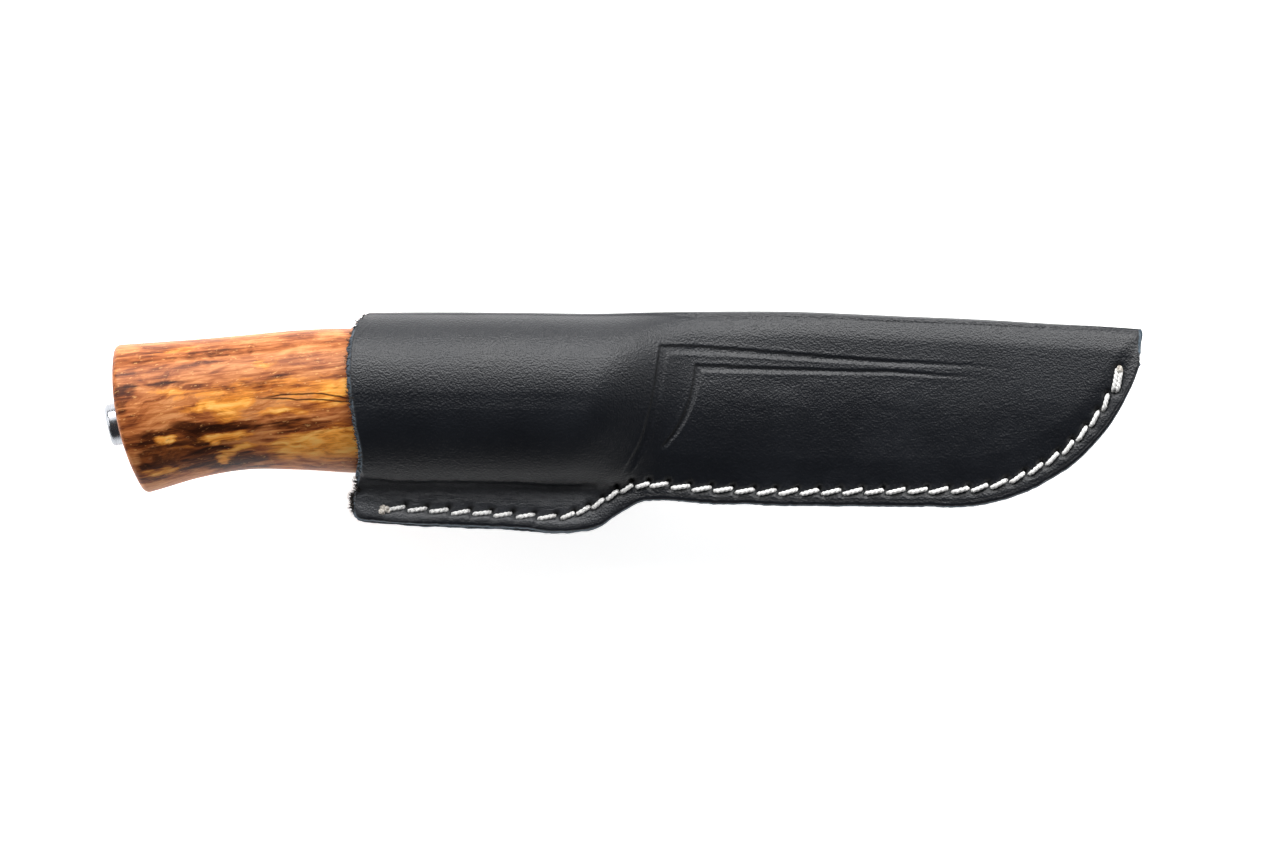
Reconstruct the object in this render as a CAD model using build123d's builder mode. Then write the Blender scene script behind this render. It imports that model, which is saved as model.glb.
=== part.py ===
"""Whittling knife in its folded leather sheath.

Frame: +X runs along the knife towards the sheath's tip, +Y towards the fold of the sheath (the back
of the blade), +Z out of the front face. The knife lies on its belt loop, whose outer run is on z = 0.
All sizes are millimetres.
"""
from build123d import *
from math import asin, atan2, cos, degrees, radians, sin, sqrt, tan
import os

# ---------------------------------------------------------------- driving dimensions
# leather
leather = 2.8                 # thickness of the sheath's leather
strap = 2.4                   # thickness of the belt loop's leather
welt_thick = 3.4              # thickness of the welt between the two edges
belt_gap = 4.5                # clear height inside the belt loop

# sheath, in plan
mouth_x = -58.2               # the mouth's furthest point
tip_x = 110.0                 # the far end of the sheath
fold_y = 23.8                 # outside of the fold along the handle
fold_drop = 3.8               # how far the fold falls towards the tip
fold_bend_x = 38.0            # where the fold starts to fall
flange_y = -23.8              # lowest point of the stitched edge, under the handle
neck_y = -16.4                # the edge steps up to here, where the handle ends
edge_y = -17.8                # lowest point of the stitched edge, under the blade
belly_x = 69.1                # centre of the round stretch that runs up to the tip
belly_radius = 41.9
belly_y = edge_y + belly_radius
belly_end_y = 12.4            # where the round stretch meets the tip's straight end

# sheath, in section
pouch_y = 4.9                 # middle of the handle's pouch
pouch_half = 12.0             # half the room for the handle, front to back
pouch_low = -12.6             # where the handle's pouch closes on the welt
slot_half = 2.0               # half the room for the blade, front to back
slot_y = 18.2                 # centre of the fold over the blade's back
bulge_start = -6.5            # the pouch narrows from here ...
bulge_end = 13.0              # ... to here
bulge_tail_end = 60.0         # and the last of the bulge dies away here
bulge_tail = 0.2              # share of the bulge that the long slope takes

# welt
welt_handle_y = -13.2         # its inner edge under the handle
welt_blade_y = -9.0           # its inner edge under the blade
welt_end_y = 12.8             # where it stops short of the tip

# seam
seam_start = (-50.6, -17.8)
seam_belly_radius = 38.3
seam_belly_turn = 70.6        # degrees of the belly that the seam follows
thread = 1.0                  # thread diameter
thread_sunk = 0.3             # how deep a stitch lies in the leather
thread_round = 0.42
stitch_pitch = 4.56
neck_pitch = 3.45             # the stitches are closer where the edge steps up ...
neck_start, neck_end = -13.0, 5.6
belly_pitch = 4.15            # ... and a little closer round the belly
stitch_share = 0.9            # share of its pitch that a stitch covers
stitch_slant = 11             # how far each stitch turns off the seam line, degrees
tack_length = 5.0             # the doubled stitch at the tip
tack_width = 1.8

# handle
butt_x = -108.5               # furthest point of the wood
butt_radius = 62.0            # the butt is a shallow arc in plan ...
butt_arc_y = 13.0             # ... about a centre at this height
butt_centre = (butt_x + butt_radius, butt_arc_y)
butt_turn = 30                # half the arc that cuts the butt, degrees
butt_round = 1.2
handle_front = -2.0           # middle of the handle's front end
front_slant = 12              # the front end leans back towards the edge, degrees
front_round = 2.5

# tang and stud
tang_y = 6.5                  # middle of the tang
tang_high = 9.0
tang_clear = 0.15             # room for glue round the tang
stud_x = -76.0                # where the stud is brazed to the tang
stud_tilt = 12.0              # the stud drops towards the butt, square to its face
stud_radius = 3.0
stud_length = 30.2

# end nut and washer, placed by their distance along the stud
nut_radius = 4.55
nut_length = 12.0
nut_outer = 34.2              # outer face of the nut
nut_clear = 0.06              # running clearance of the nut on the stud
nut_chamfer = 1.0
socket_across = 5.0           # across the flats of the hex socket
socket_deep = 3.6
washer_thick = 1.0
washer_radius = 4.4
counterbore_radius = 4.85
nut_inner = nut_outer - nut_length
washer_inner = nut_inner - washer_thick

# blade
blade_thick = 2.8
blade_back = 18.3             # height of the blade's back
blade_edge = -7.6             # height of the cutting edge
blade_tip_x = 94.0
blade_tip_y = 9.6
blade_belly_x = 52.0          # where the edge starts to curve up
blade_drop_x = 56.0           # where the back starts to drop to the point
bevel_high = 9.0              # height of the ground bevel
edge_land = 0.05              # half the thickness left at the cutting edge
heel_x = 5.0                  # where the cutting edge starts, in front of the handle
rise = blade_tip_y - blade_edge
run = blade_tip_x - blade_belly_x
blade_belly_radius = (run**2 + rise**2) / (2 * rise)

# belt loop and its rivets
loop_start = -54.0
loop_end = 8.0
loop_half_width = 10.0
loop_corner = 4.0
loop_step = 2.0               # how far the loop wraps up round the back of the pouch
strap_ends_x = -26.0          # the strap's two ends meet here, against the pouch
strap_ends_gap = 1.5
rivet_x = (-40.0, -12.0)
cap_radius = 4.0
cap_high = 0.9
head_radius = 3.6
head_high = 0.8
post_radius = 1.6

# ---------------------------------------------------------------- heights that follow
outside_half = pouch_half + leather
loop_top = strap + belt_gap + strap                # the loop's inner run touches the pouch here
mid_z = loop_top + outside_half                    # the plane of the blade
face_half = welt_thick / 2 + leather               # outside of the seam's two faces
stations = [mouth_x - 4, bulge_start, -3, -1, 1, 3, 5, 7, 10, bulge_end, 18, 28, fold_bend_x, 49, bulge_tail_end,
            tip_x + 2]
far = 40.0                                         # beyond every edge of the knife and sheath


def ease(value, start, end):
    """0 before start, 1 after end and a smooth S between them."""
    t = min(max((value - start) / (end - start), 0), 1)
    return t * t * (3 - 2 * t)


def section_plane(x):
    """Plane square to the knife: its own x is the model's Y, its own y is Z from the blade's plane."""
    return Plane(origin=(x, 0, mid_z), x_dir=(0, 1, 0), z_dir=(1, 0, 0))


def pouch(skin):
    """Sections of the room inside the sheath, grown all round by skin.

    Each section is an oval that runs on below as the slot which the welt fills. Along the handle the
    oval is the handle's, along the blade it is a narrow fold.
    """
    sections = []
    for x in stations:
        tail = bulge_tail * ease(x, bulge_start, bulge_tail_end)
        narrow = (1 - bulge_tail) * ease(x, bulge_start, bulge_end) + tail
        lift = 0.55 * ease(x, -5, 6) + 0.45 * ease(x, 0, bulge_tail_end)
        fall = fold_drop * max(x - fold_bend_x, 0) / (tip_x - fold_bend_x)
        half = pouch_half + (slot_half - pouch_half) * narrow + skin
        middle = pouch_y + (slot_y - pouch_y) * lift - fall
        top = fold_y - leather - fall + skin
        low = pouch_low - skin
        gap = welt_thick / 2 + skin
        cut = degrees(asin(gap / half))
        with BuildSketch(section_plane(x)) as section:
            with BuildLine():
                EllipticalCenterArc((middle, 0), top - middle, half, 90, arc_size=-180)
                back = EllipticalCenterArc((middle, 0), middle - low, half, 270, arc_size=cut - 90)
                front = EllipticalCenterArc((middle, 0), middle - low, half, 90, arc_size=90 - cut)
                Polyline(back @ 1, (-far, -gap), (-far, gap), front @ 1)
            make_face()
        sections.append(section.sketch)
    return sections


def sheath_outline():
    """Plan of the sheath, open past the fold, which the sections give."""
    belly_end = belly_x + sqrt(belly_radius**2 - (belly_y - belly_end_y) ** 2)
    with BuildSketch() as outline:
        with BuildLine():
            Polyline((belly_end, belly_end_y), (tip_x, 19), (tip_x, far), (-54, far), (-54, fold_y))
            Spline((-54, fold_y), (-57.6, 19), (mouth_x, 12), (-56.8, 0), (-55.7, -10.5))
            Spline(
                (-55.7, -10.5), (-57.6, -16.5), (-56, -20.6), (-52, -21.5),
                tangents=[(-0.3, -1), (1, -0.1)],
            )
            Line((-52, -21.5), (-15, flange_y))
            Spline(
                (-15, flange_y), (-6.5, -22.8), (-0.8, -19), (3.4, neck_y - 0.3), (8.5, neck_y),
                tangents=[(1, -0.06), (1, -0.05)],
            )
            Spline(
                (8.5, neck_y), (30, edge_y + 0.25), (belly_x, edge_y),
                tangents=[(1, -0.05), (1, 0)],
            )
            CenterArc((belly_x, belly_y), belly_radius, -90, arc_turn(belly_radius, belly_end_y))
        make_face()
    return outline.sketch


def arc_turn(radius, y):
    """Degrees that an arc about the belly's centre turns from its lowest point up to height y."""
    return 90 - degrees(asin((belly_y - y) / radius))


def knife_room_outline():
    """Plan of the space that the welt leaves for the knife."""
    inner_radius = belly_y - welt_blade_y
    with BuildSketch() as outline:
        with BuildLine():
            inner = CenterArc((belly_x, belly_y), inner_radius, -90, arc_turn(inner_radius, welt_end_y))
            Polyline(
                inner @ 1, (tip_x + 5, welt_end_y), (tip_x + 5, far), (mouth_x - 5, far),
                (mouth_x - 5, welt_handle_y), (-7, welt_handle_y),
            )
            Spline((-7, welt_handle_y), (5, welt_blade_y), tangents=[(1, 0), (1, 0)])
            Line((5, welt_blade_y), inner @ 0)
        make_face()
    return outline.sketch


def front_x(y):
    """The slanted front end of the handle, and the blade's shoulders against it."""
    return handle_front + (y - pouch_y) * tan(radians(front_slant))


# ---------------------------------------------------------------- sheath
with BuildPart() as sheath_body:
    loft(pouch(leather), ruled=True)
    loft(pouch(0), ruled=True, mode=Mode.SUBTRACT)
    extrude(sheath_outline(), amount=2 * mid_z, mode=Mode.INTERSECT)
    with BuildSketch(Plane.XY.offset(mid_z - pouch_half - head_high - 0.1)):
        with Locations(*[(x, pouch_y) for x in rivet_x]):
            Circle(head_radius + 0.1)
    extrude(amount=head_high + 1, mode=Mode.SUBTRACT)
    with BuildSketch():
        with Locations(*[(x, pouch_y) for x in rivet_x]):
            Circle(post_radius)
    extrude(amount=mid_z, mode=Mode.SUBTRACT)
sheath_body.part.label = "sheath_body"

with BuildPart() as welt:
    with BuildSketch(Plane.XY.offset(mid_z - welt_thick / 2)):
        add(sheath_outline())
        add(knife_room_outline(), mode=Mode.SUBTRACT)
    extrude(amount=welt_thick)
welt.part.label = "welt"

# ---------------------------------------------------------------- seam
with BuildLine() as seam:
    Line(seam_start, (-16, -19.9))
    Spline((-16, -19.9), (-7.8, -18.1), (0.6, -13.8), (7.6, -13.1), tangents=[(1, -0.06), (1, -0.05)])
    Spline((7.6, -13.1), (28, -14.4), (belly_x, belly_y - seam_belly_radius), tangents=[(1, -0.1), (1, 0)])
    CenterArc((belly_x, belly_y), seam_belly_radius, -90, seam_belly_turn)
seam_line = seam.wire()


def pitch_at(x):
    if neck_start < x < neck_end:
        return neck_pitch
    return belly_pitch if x > belly_x else stitch_pitch


def stitch_row():
    """Distance along the seam, length and width of each stitch; the last one is the doubled tack."""
    row, reach = [], stitch_pitch / 2
    tack_at = seam_line.length - tack_length / 2
    while reach < tack_at - tack_length / 2 - belly_pitch * stitch_share / 2:
        pitch = pitch_at((seam_line @ (reach / seam_line.length)).X)
        row.append((reach, pitch * stitch_share, thread))
        reach += pitch
    return row + [(tack_at, tack_length, tack_width)]


def stitches(height, slant):
    """Outlines of the stitches of one thread, on a level height."""
    with BuildSketch(Plane.XY.offset(height)) as row:
        for reach, length, width in stitch_row():
            spot = reach / seam_line.length
            point = seam_line @ spot
            along = seam_line % spot
            turn = degrees(atan2(along.Y, along.X)) + slant
            with Locations(Location((point.X, point.Y), turn)):
                SlotOverall(length, width)
    return row.sketch


with BuildPart() as front_thread:
    extrude(stitches(mid_z + face_half - thread_sunk, stitch_slant), amount=thread)
    fillet(front_thread.edges().group_by(Axis.Z)[-1], thread_round)
front_thread.part.label = "front_thread"

with BuildPart() as back_thread:
    extrude(stitches(mid_z - face_half + thread_sunk - thread, -stitch_slant), amount=thread)
    fillet(back_thread.edges().group_by(Axis.Z)[0], thread_round)
back_thread.part.label = "back_thread"

# ---------------------------------------------------------------- belt loop
with BuildPart() as belt_room:
    with BuildSketch(Plane.XZ.offset(-pouch_y)):
        with Locations(((loop_start + loop_end) / 2, strap)):
            RectangleRounded(loop_end - loop_start - 2 * strap, loop_top + loop_step - 2 * strap,
                             loop_corner - strap, align=(Align.CENTER, Align.MIN))
    extrude(amount=loop_half_width + 1, both=True)
    loft(pouch(leather + strap), ruled=True, mode=Mode.SUBTRACT)

with BuildPart() as belt_loop:
    with BuildSketch(Plane.XZ.offset(-pouch_y)):
        with Locations(((loop_start + loop_end) / 2, 0)):
            RectangleRounded(loop_end - loop_start, loop_top + loop_step, loop_corner,
                             align=(Align.CENTER, Align.MIN))
    extrude(amount=loop_half_width, both=True)
    add(belt_room.part, mode=Mode.SUBTRACT)
    loft(pouch(leather), ruled=True, mode=Mode.SUBTRACT)
    with Locations((strap_ends_x, pouch_y, loop_top)):
        Box(strap_ends_gap, 3 * loop_half_width, 2 * strap + 1, mode=Mode.SUBTRACT)
    with BuildSketch(Plane.XY.offset(strap + belt_gap / 2)):
        with Locations(*[(x, pouch_y) for x in rivet_x]):
            Circle(cap_radius + 0.1)
    extrude(amount=belt_gap / 2 + cap_high, mode=Mode.SUBTRACT)
    with BuildSketch(Plane.XY.offset(strap + belt_gap / 2)):
        with Locations(*[(x, pouch_y) for x in rivet_x]):
            Circle(post_radius)
    extrude(amount=mid_z, mode=Mode.SUBTRACT)
belt_loop.part.label = "belt_loop"

with BuildPart() as rivet_posts:
    with BuildSketch(Plane.XY.offset(mid_z - pouch_half - head_high)):
        with Locations(*[(x, pouch_y) for x in rivet_x]):
            Circle(head_radius)
    extrude(amount=head_high - 0.1)
    with BuildSketch(Plane.XY.offset(strap + belt_gap + cap_high / 3)):
        with Locations(*[(x, pouch_y) for x in rivet_x]):
            Circle(post_radius)
    extrude(amount=mid_z - pouch_half - head_high - strap - belt_gap - cap_high / 3)
rivet_posts.part.label = "rivet_posts"

with BuildPart() as rivet_caps:
    with BuildSketch(Plane.XY.offset(strap + belt_gap)):
        with Locations(*[(x, pouch_y) for x in rivet_x]):
            Circle(cap_radius)
    extrude(amount=cap_high)
    fillet(rivet_caps.edges().group_by(Axis.Z)[0], cap_high / 2)
    with BuildSketch(Plane.XY.offset(strap + belt_gap + cap_high / 3)):
        with Locations(*[(x, pouch_y) for x in rivet_x]):
            Circle(post_radius)
    extrude(amount=cap_high, mode=Mode.SUBTRACT)
rivet_caps.part.label = "rivet_caps"

# ---------------------------------------------------------------- blade
bevel_levels = (
    (-blade_thick / 2, bevel_high),
    (-edge_land, 0),
    (edge_land, 0),
    (blade_thick / 2, bevel_high),
)


def bevel_outline(level, inset):
    """Plan of everything behind the bevel, whose ground line is inset from the cutting edge."""
    edge = blade_edge + inset
    radius = blade_belly_radius - inset
    centre_y = blade_edge + blade_belly_radius
    with BuildSketch(Plane.XY.offset(level)) as outline:
        with BuildLine():
            CenterArc((blade_belly_x, centre_y), radius, -90, 90)
            Polyline(
                (blade_belly_x + radius, centre_y), (stud_x - 1, centre_y), (stud_x - 1, edge), (blade_belly_x, edge),
            )
        make_face()
    return outline.sketch


with BuildPart() as blade:
    with BuildSketch(Plane.XY.offset(mid_z - blade_thick / 2)):
        with BuildLine():
            tang_top = tang_y + tang_high / 2
            tang_low = tang_y - tang_high / 2
            Polyline(
                (blade_drop_x, blade_back), (front_x(blade_back), blade_back), (front_x(tang_top), tang_top),
                (stud_x, tang_top - 1), (stud_x, tang_low + 1), (front_x(tang_low), tang_low),
                (front_x(-4.5), -4.5), (heel_x, blade_edge), (blade_belly_x, blade_edge),
            )
            RadiusArc((blade_belly_x, blade_edge), (blade_tip_x, blade_tip_y), -blade_belly_radius)
            ThreePointArc((blade_tip_x, blade_tip_y), (76, 16.1), (blade_drop_x, blade_back))
        make_face()
    extrude(amount=blade_thick)
    loft([bevel_outline(mid_z + z, inset) for z, inset in bevel_levels], ruled=True, mode=Mode.INTERSECT)
blade.part.label = "blade"

# ---------------------------------------------------------------- tang stud, washer and nut
tilt = radians(stud_tilt)
stud_way = Vector(-cos(tilt), -sin(tilt), 0)
stud_base = Vector(stud_x, tang_y, mid_z)


def stud_plane(distance):
    """Plane square to the stud, facing out of the butt, at a distance from the stud's root."""
    return Plane(origin=stud_base + stud_way * distance, x_dir=(0, 0, 1), z_dir=stud_way)


with BuildPart() as tang_stud:
    with BuildSketch(stud_plane(-2)):
        Circle(stud_radius)
    extrude(amount=stud_length + 2)
    chamfer(tang_stud.edges().sort_by(Axis.X)[0], 0.5)
    split(bisect_by=Plane(origin=stud_base, z_dir=(-1, 0, 0)), keep=Keep.TOP)
tang_stud.part.label = "tang_stud"

with BuildPart() as end_washer:
    with BuildSketch(stud_plane(washer_inner)):
        Circle(washer_radius)
        Circle(stud_radius + 0.15, mode=Mode.SUBTRACT)
    extrude(amount=washer_thick)
end_washer.part.label = "end_washer"

with BuildPart() as end_nut:
    with BuildSketch(stud_plane(nut_inner)):
        Circle(nut_radius)
    extrude(amount=nut_length)
    outer_face = end_nut.faces().filter_by(GeomType.PLANE).sort_by(Axis.X)[0]
    chamfer(outer_face.edges(), nut_chamfer)
    with BuildSketch(stud_plane(nut_inner)):
        Circle(stud_radius + nut_clear)
    extrude(amount=nut_length - socket_deep, mode=Mode.SUBTRACT)
    with BuildSketch(stud_plane(nut_outer)):
        RegularPolygon(socket_across / 2, 6, major_radius=False)
    extrude(amount=-socket_deep - 1, mode=Mode.SUBTRACT)
end_nut.part.label = "end_nut"

# ---------------------------------------------------------------- handle
# ovals along the handle: x, top, bottom, half thickness
handle_sections = (
    (-111, 16.4, -16.2, 12.4),
    (-98.5, 17.3, -14.0, 11.9),
    (-90, 17.9, -11.5, 11.3),
    (-80, 18.8, -9.8, 10.9),
    (-69, 19.8, -9.8, 11.1),
    (-57, 20.2, -10.5, 11.5),
    (-35, 20.1, -10.4, 11.4),
    (-15, 19.8, -9.9, 11.1),
    (6, 19.3, -9.2, 10.7),
)

with BuildPart() as handle:
    for x, top, bottom, half in handle_sections:
        with BuildSketch(section_plane(x)):
            with Locations(((top + bottom) / 2, 0)):
                Ellipse((top - bottom) / 2, half)
    loft()
    with BuildSketch():
        with BuildLine():
            butt = CenterArc(butt_centre, butt_radius, 180 - butt_turn, 2 * butt_turn)
            Polyline(butt @ 1, (front_x(-far), -far), (front_x(far), far), butt @ 0)
        make_face()
    extrude(amount=2 * mid_z, mode=Mode.INTERSECT)
    fillet(handle.edges().group_by(Axis.X)[0], butt_round)
    fillet(handle.edges().group_by(Axis.X)[-1], front_round)
    with BuildSketch(Plane(origin=(stud_x, tang_y, mid_z), x_dir=(0, 1, 0), z_dir=(1, 0, 0))):
        Rectangle(tang_high + 2 * tang_clear, blade_thick + 2 * tang_clear)
    extrude(amount=far - stud_x, mode=Mode.SUBTRACT)
    with BuildSketch(stud_plane(-2)):
        Circle(stud_radius + tang_clear)
    extrude(amount=washer_inner + 3, mode=Mode.SUBTRACT)
    with BuildSketch(stud_plane(washer_inner)):
        Circle(counterbore_radius)
    extrude(amount=far, mode=Mode.SUBTRACT)
handle.part.label = "handle"

pieces = (
    sheath_body, welt, front_thread, back_thread, belt_loop, rivet_posts, rivet_caps,
    blade, tang_stud, handle, end_washer, end_nut,
)
os.makedirs("parts", exist_ok=True)
for piece in pieces:
    export_step(piece.part, f"parts/{piece.part.label}.step")
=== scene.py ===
"""Looks for a whittling knife in its folded, hand-stitched leather sheath.

Lengths in this file are millimetres in the CAD frame, and meshes are scaled to metres when they are made.
"""

import math

import bmesh
import bpy
import numpy as np
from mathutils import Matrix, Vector
from mathutils.bvhtree import BVHTree


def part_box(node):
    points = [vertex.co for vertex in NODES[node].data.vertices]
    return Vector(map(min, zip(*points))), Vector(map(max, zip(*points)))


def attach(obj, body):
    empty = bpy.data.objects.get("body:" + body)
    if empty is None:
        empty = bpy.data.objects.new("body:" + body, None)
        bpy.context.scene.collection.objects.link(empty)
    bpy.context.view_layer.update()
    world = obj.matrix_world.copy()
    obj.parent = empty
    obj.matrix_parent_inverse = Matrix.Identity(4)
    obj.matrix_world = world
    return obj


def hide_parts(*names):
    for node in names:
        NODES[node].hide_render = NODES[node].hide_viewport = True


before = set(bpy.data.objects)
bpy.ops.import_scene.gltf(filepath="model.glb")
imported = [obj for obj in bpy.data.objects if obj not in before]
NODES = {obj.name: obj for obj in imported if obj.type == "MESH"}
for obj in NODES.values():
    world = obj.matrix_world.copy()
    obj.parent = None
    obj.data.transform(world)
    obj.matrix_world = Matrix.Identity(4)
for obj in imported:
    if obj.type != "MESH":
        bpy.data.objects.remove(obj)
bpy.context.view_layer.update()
MM = 0.001


def box_mm(node):
    low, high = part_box(node)
    return np.array(low) / MM, np.array(high) / MM


# ---------------------------------------------------------------- places read from the frame
SHEATH_HIGH = box_mm("sheath_body")[1]
BLADE_LOW, BLADE_HIGH = box_mm("blade")
WELT_LOW, WELT_HIGH = box_mm("welt")
LOOP_LOW, LOOP_HIGH = box_mm("belt_loop")
CAP_LOW, CAP_HIGH = box_mm("rivet_caps")
NUT_LOW, NUT_HIGH = box_mm("end_nut")
MID_Z = (BLADE_LOW[2] + BLADE_HIGH[2]) / 2
WELT_HALF = (WELT_HIGH[2] - WELT_LOW[2]) / 2
POUCH_HALF = SHEATH_HIGH[2] - MID_Z
TIP_X = SHEATH_HIGH[0]

# ---------------------------------------------------------------- sizes
LEATHER = 2.8
FACE_HALF = WELT_HALF + LEATHER      # half the thickness where the edges are stitched
POUCH_Y = 4.9                        # middle of the handle's pouch
POUCH_LOW = -14.6                    # where the pouch meets the stitched edge
BULGE_START = -8.0                   # the pouch falls from here ...
BULGE_END = 14.0                     # ... to here, apart from a long low slope
BULGE_TAIL = 0.2
BULGE_TAIL_END = 60.0
CORNER_ROUND = 1.6                   # the corner between the mouth and the flange
EDGE_ROUND = 0.45                    # how far a cut edge is rounded
STRAIGHT_SHARE = 0.735               # share of the columns before the belly's arc
MOUTH_X = -54.6                      # where the columns start, before the mouth's curve moves them
BELLY_CENTRE = np.array((69.1, 24.1))     # the belly is an arc about this place
BELLY_RADIUS = 41.9
TIP_CORNER = (109.33, 12.4)          # where the belly meets the straight cut at the tip
MOUTH_FADE = 22.0                    # how far from the mouth its curve still bends the mesh's columns
STRAP = 2.4                          # thickness of the belt strap
STRAP_CORNER = 4.0                   # outside radius of its bends
STRAP_GAP_X = -26.0                  # where its two ends meet
STRAP_GAP = 1.5
STUD_TILT = math.radians(12)
AXIS = np.array((-math.cos(STUD_TILT), -math.sin(STUD_TILT), 0.0))
RNG = np.random.default_rng(7)

# outlines: the fold and the flange as (x, y), the mouth as (y, x)
FOLD = [(-58, 23.5), (-40, 23.62), (-20, 23.5), (-5, 23.35), (7, 23.65), (22, 23.79), (37, 23.7), 
        (46, 23.35), (58, 22.8), (75, 22.1), (92, 21.1), (101, 20.65), (110, 20.0)]
MOUTH = [(-21.6, -54.2), (-20.9, -56.3), (-18.5, -57.4), (-15.5, -57.5), (-12.5, -56.3), (-9, -55.7),
         (0, -56.8), (7, -57.8), (12, -58.1), (16, -57.9), (19, -57.5), (21.2, -56.7), (22.8, -55.6),
         (23.6, -54.3)]
FLANGE = [(-56, -21.1), (-52, -21.6), (-34, -22.6), (-22, -23.15), (-15, -23.75), (-9.3, -23.5),
          (-5.1, -22.3), (-0.85, -19.1), (3.4, -16.8), (8.5, -16.4), (16, -17.0), (30, -17.4),
          (46, -17.7), (69.1, -17.8)]


# ---------------------------------------------------------------- small mathematics
def ease(value, start, end):
    """0 before start, 1 after end and a smooth S between them."""
    t = np.clip((np.asarray(value, float) - start) / (end - start), 0, 1)
    return t * t * (3 - 2 * t)


def bell(value, width):
    return np.exp(-(np.asarray(value, float) / width) ** 2)


def through(points, at):
    """A smooth curve through points, read at the places in at."""
    p = np.array(points, float)
    x, y = p[:, 0], p[:, 1]
    slope = np.gradient(y, x)
    at = np.clip(np.asarray(at, float), x[0], x[-1])
    i = np.clip(np.searchsorted(x, at) - 1, 0, len(x) - 2)
    width = x[i + 1] - x[i]
    t = (at - x[i]) / width
    begin, leave = y[i], slope[i] * width
    end, arrive = y[i + 1], slope[i + 1] * width
    first = (2 * t**3 - 3 * t**2 + 1) * begin + (t**3 - 2 * t**2 + t) * leave
    return first + (3 * t**2 - 2 * t**3) * end + (t**3 - t**2) * arrive


LATTICE = np.random.default_rng(11).random((64, 64, 4)) * 2 - 1


def wander(x, y, size, layer=0, octaves=3):
    """Smooth noise from -1 to 1 over a plane, with features of about size."""
    total, amount = 0.0, 1.0
    for octave in range(octaves):
        u, v = np.asarray(x) / size + 17.3 * octave, np.asarray(y) / size + 9.1 * octave
        iu, iv = np.floor(u).astype(int), np.floor(v).astype(int)
        fu, fv = u - iu, v - iv
        fu, fv = fu * fu * (3 - 2 * fu), fv * fv * (3 - 2 * fv)
        g = LATTICE[:, :, layer]
        near = g[iu % 64, iv % 64] * (1 - fu) + g[(iu + 1) % 64, iv % 64] * fu
        far = g[iu % 64, (iv + 1) % 64] * (1 - fu) + g[(iu + 1) % 64, (iv + 1) % 64] * fu
        total = total + amount * (near * (1 - fv) + far * fv)
        amount, size = amount / 2, size / 2
    return total


def unit(v):
    return v / np.maximum(np.linalg.norm(v, axis=-1, keepdims=True), 1e-9)


# ---------------------------------------------------------------- mesh making
def in_scene(name, data):
    obj = bpy.data.objects.new(name, data)
    bpy.context.scene.collection.objects.link(obj)
    return obj


def make_object(name, points, faces, materials, body, replaces=(), attributes=None, picks=None):
    """A smooth-shaded mesh from points in millimetres. picks says which of the materials each face has."""
    mesh = bpy.data.meshes.new(name)
    mesh.from_pydata((np.asarray(points, float) * MM).tolist(), [], faces)
    for material in materials:
        mesh.materials.append(material)
    if picks is not None:
        mesh.polygons.foreach_set("material_index", picks)
    mesh.polygons.foreach_set("use_smooth", [True] * len(mesh.polygons))
    for key, values in (attributes or {}).items():
        mesh.attributes.new(key, "FLOAT", "POINT").data.foreach_set("value", np.asarray(values, np.float32))
    mesh.update()
    obj = in_scene(name, mesh)
    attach(obj, body)
    if replaces:
        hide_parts(*replaces)


def grid_faces(rows, columns, close_columns=False, start=0):
    """Quads over a grid of points stored row by row."""
    faces = []
    for i in range(rows - 1):
        near, far = start + i * columns, start + (i + 1) * columns
        for j in range(columns if close_columns else columns - 1):
            beside = (j + 1) % columns
            faces.append((near + j, near + beside, far + beside, far + j))
    return faces


def ring_faces(rings, sides, inside_out=False):
    """Faces of a closed shape made of rings of points, with a cap on the first and the last ring."""
    faces = grid_faces(rings, sides, close_columns=True)
    faces.append(tuple(range(sides))[::-1])
    faces.append(tuple(range((rings - 1) * sides, rings * sides)))
    return [tuple(reversed(f)) for f in faces] if inside_out else faces


def lengths_along(points):
    """How far each point of a line is from its start, along the line."""
    return np.concatenate([[0], np.cumsum(np.linalg.norm(np.diff(points, axis=0), axis=1))])


def read_along(points, at):
    """A line of points, read at these distances from its start."""
    length = lengths_along(points)
    return np.stack([np.interp(at, length, column) for column in points.T], -1)


def evenly(points, count):
    """This many places at equal distances along a line of points."""
    return read_along(points, np.linspace(0, lengths_along(points)[-1], count))


def full_turn(count):
    return np.linspace(0, 2 * math.pi, count, endpoint=False)


def rim_of(rows, columns):
    """Grid places once round the border."""
    top = [(0, j) for j in range(columns - 1)]
    right = [(i, columns - 1) for i in range(rows - 1)]
    bottom = [(rows - 1, j) for j in range(columns - 1, 0, -1)]
    left = [(i, 0) for i in range(rows - 1, 0, -1)]
    return top + right + bottom + left


def outward(surface):
    """Directions that leave a grid surface across its border, in its own plane."""
    way = np.zeros_like(surface)
    way[0] += unit(surface[0] - surface[2])
    way[-1] += unit(surface[-1] - surface[-3])
    way[:, 0] += unit(surface[:, 0] - surface[:, 2])
    way[:, -1] += unit(surface[:, -1] - surface[:, -3])
    return unit(way)


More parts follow.
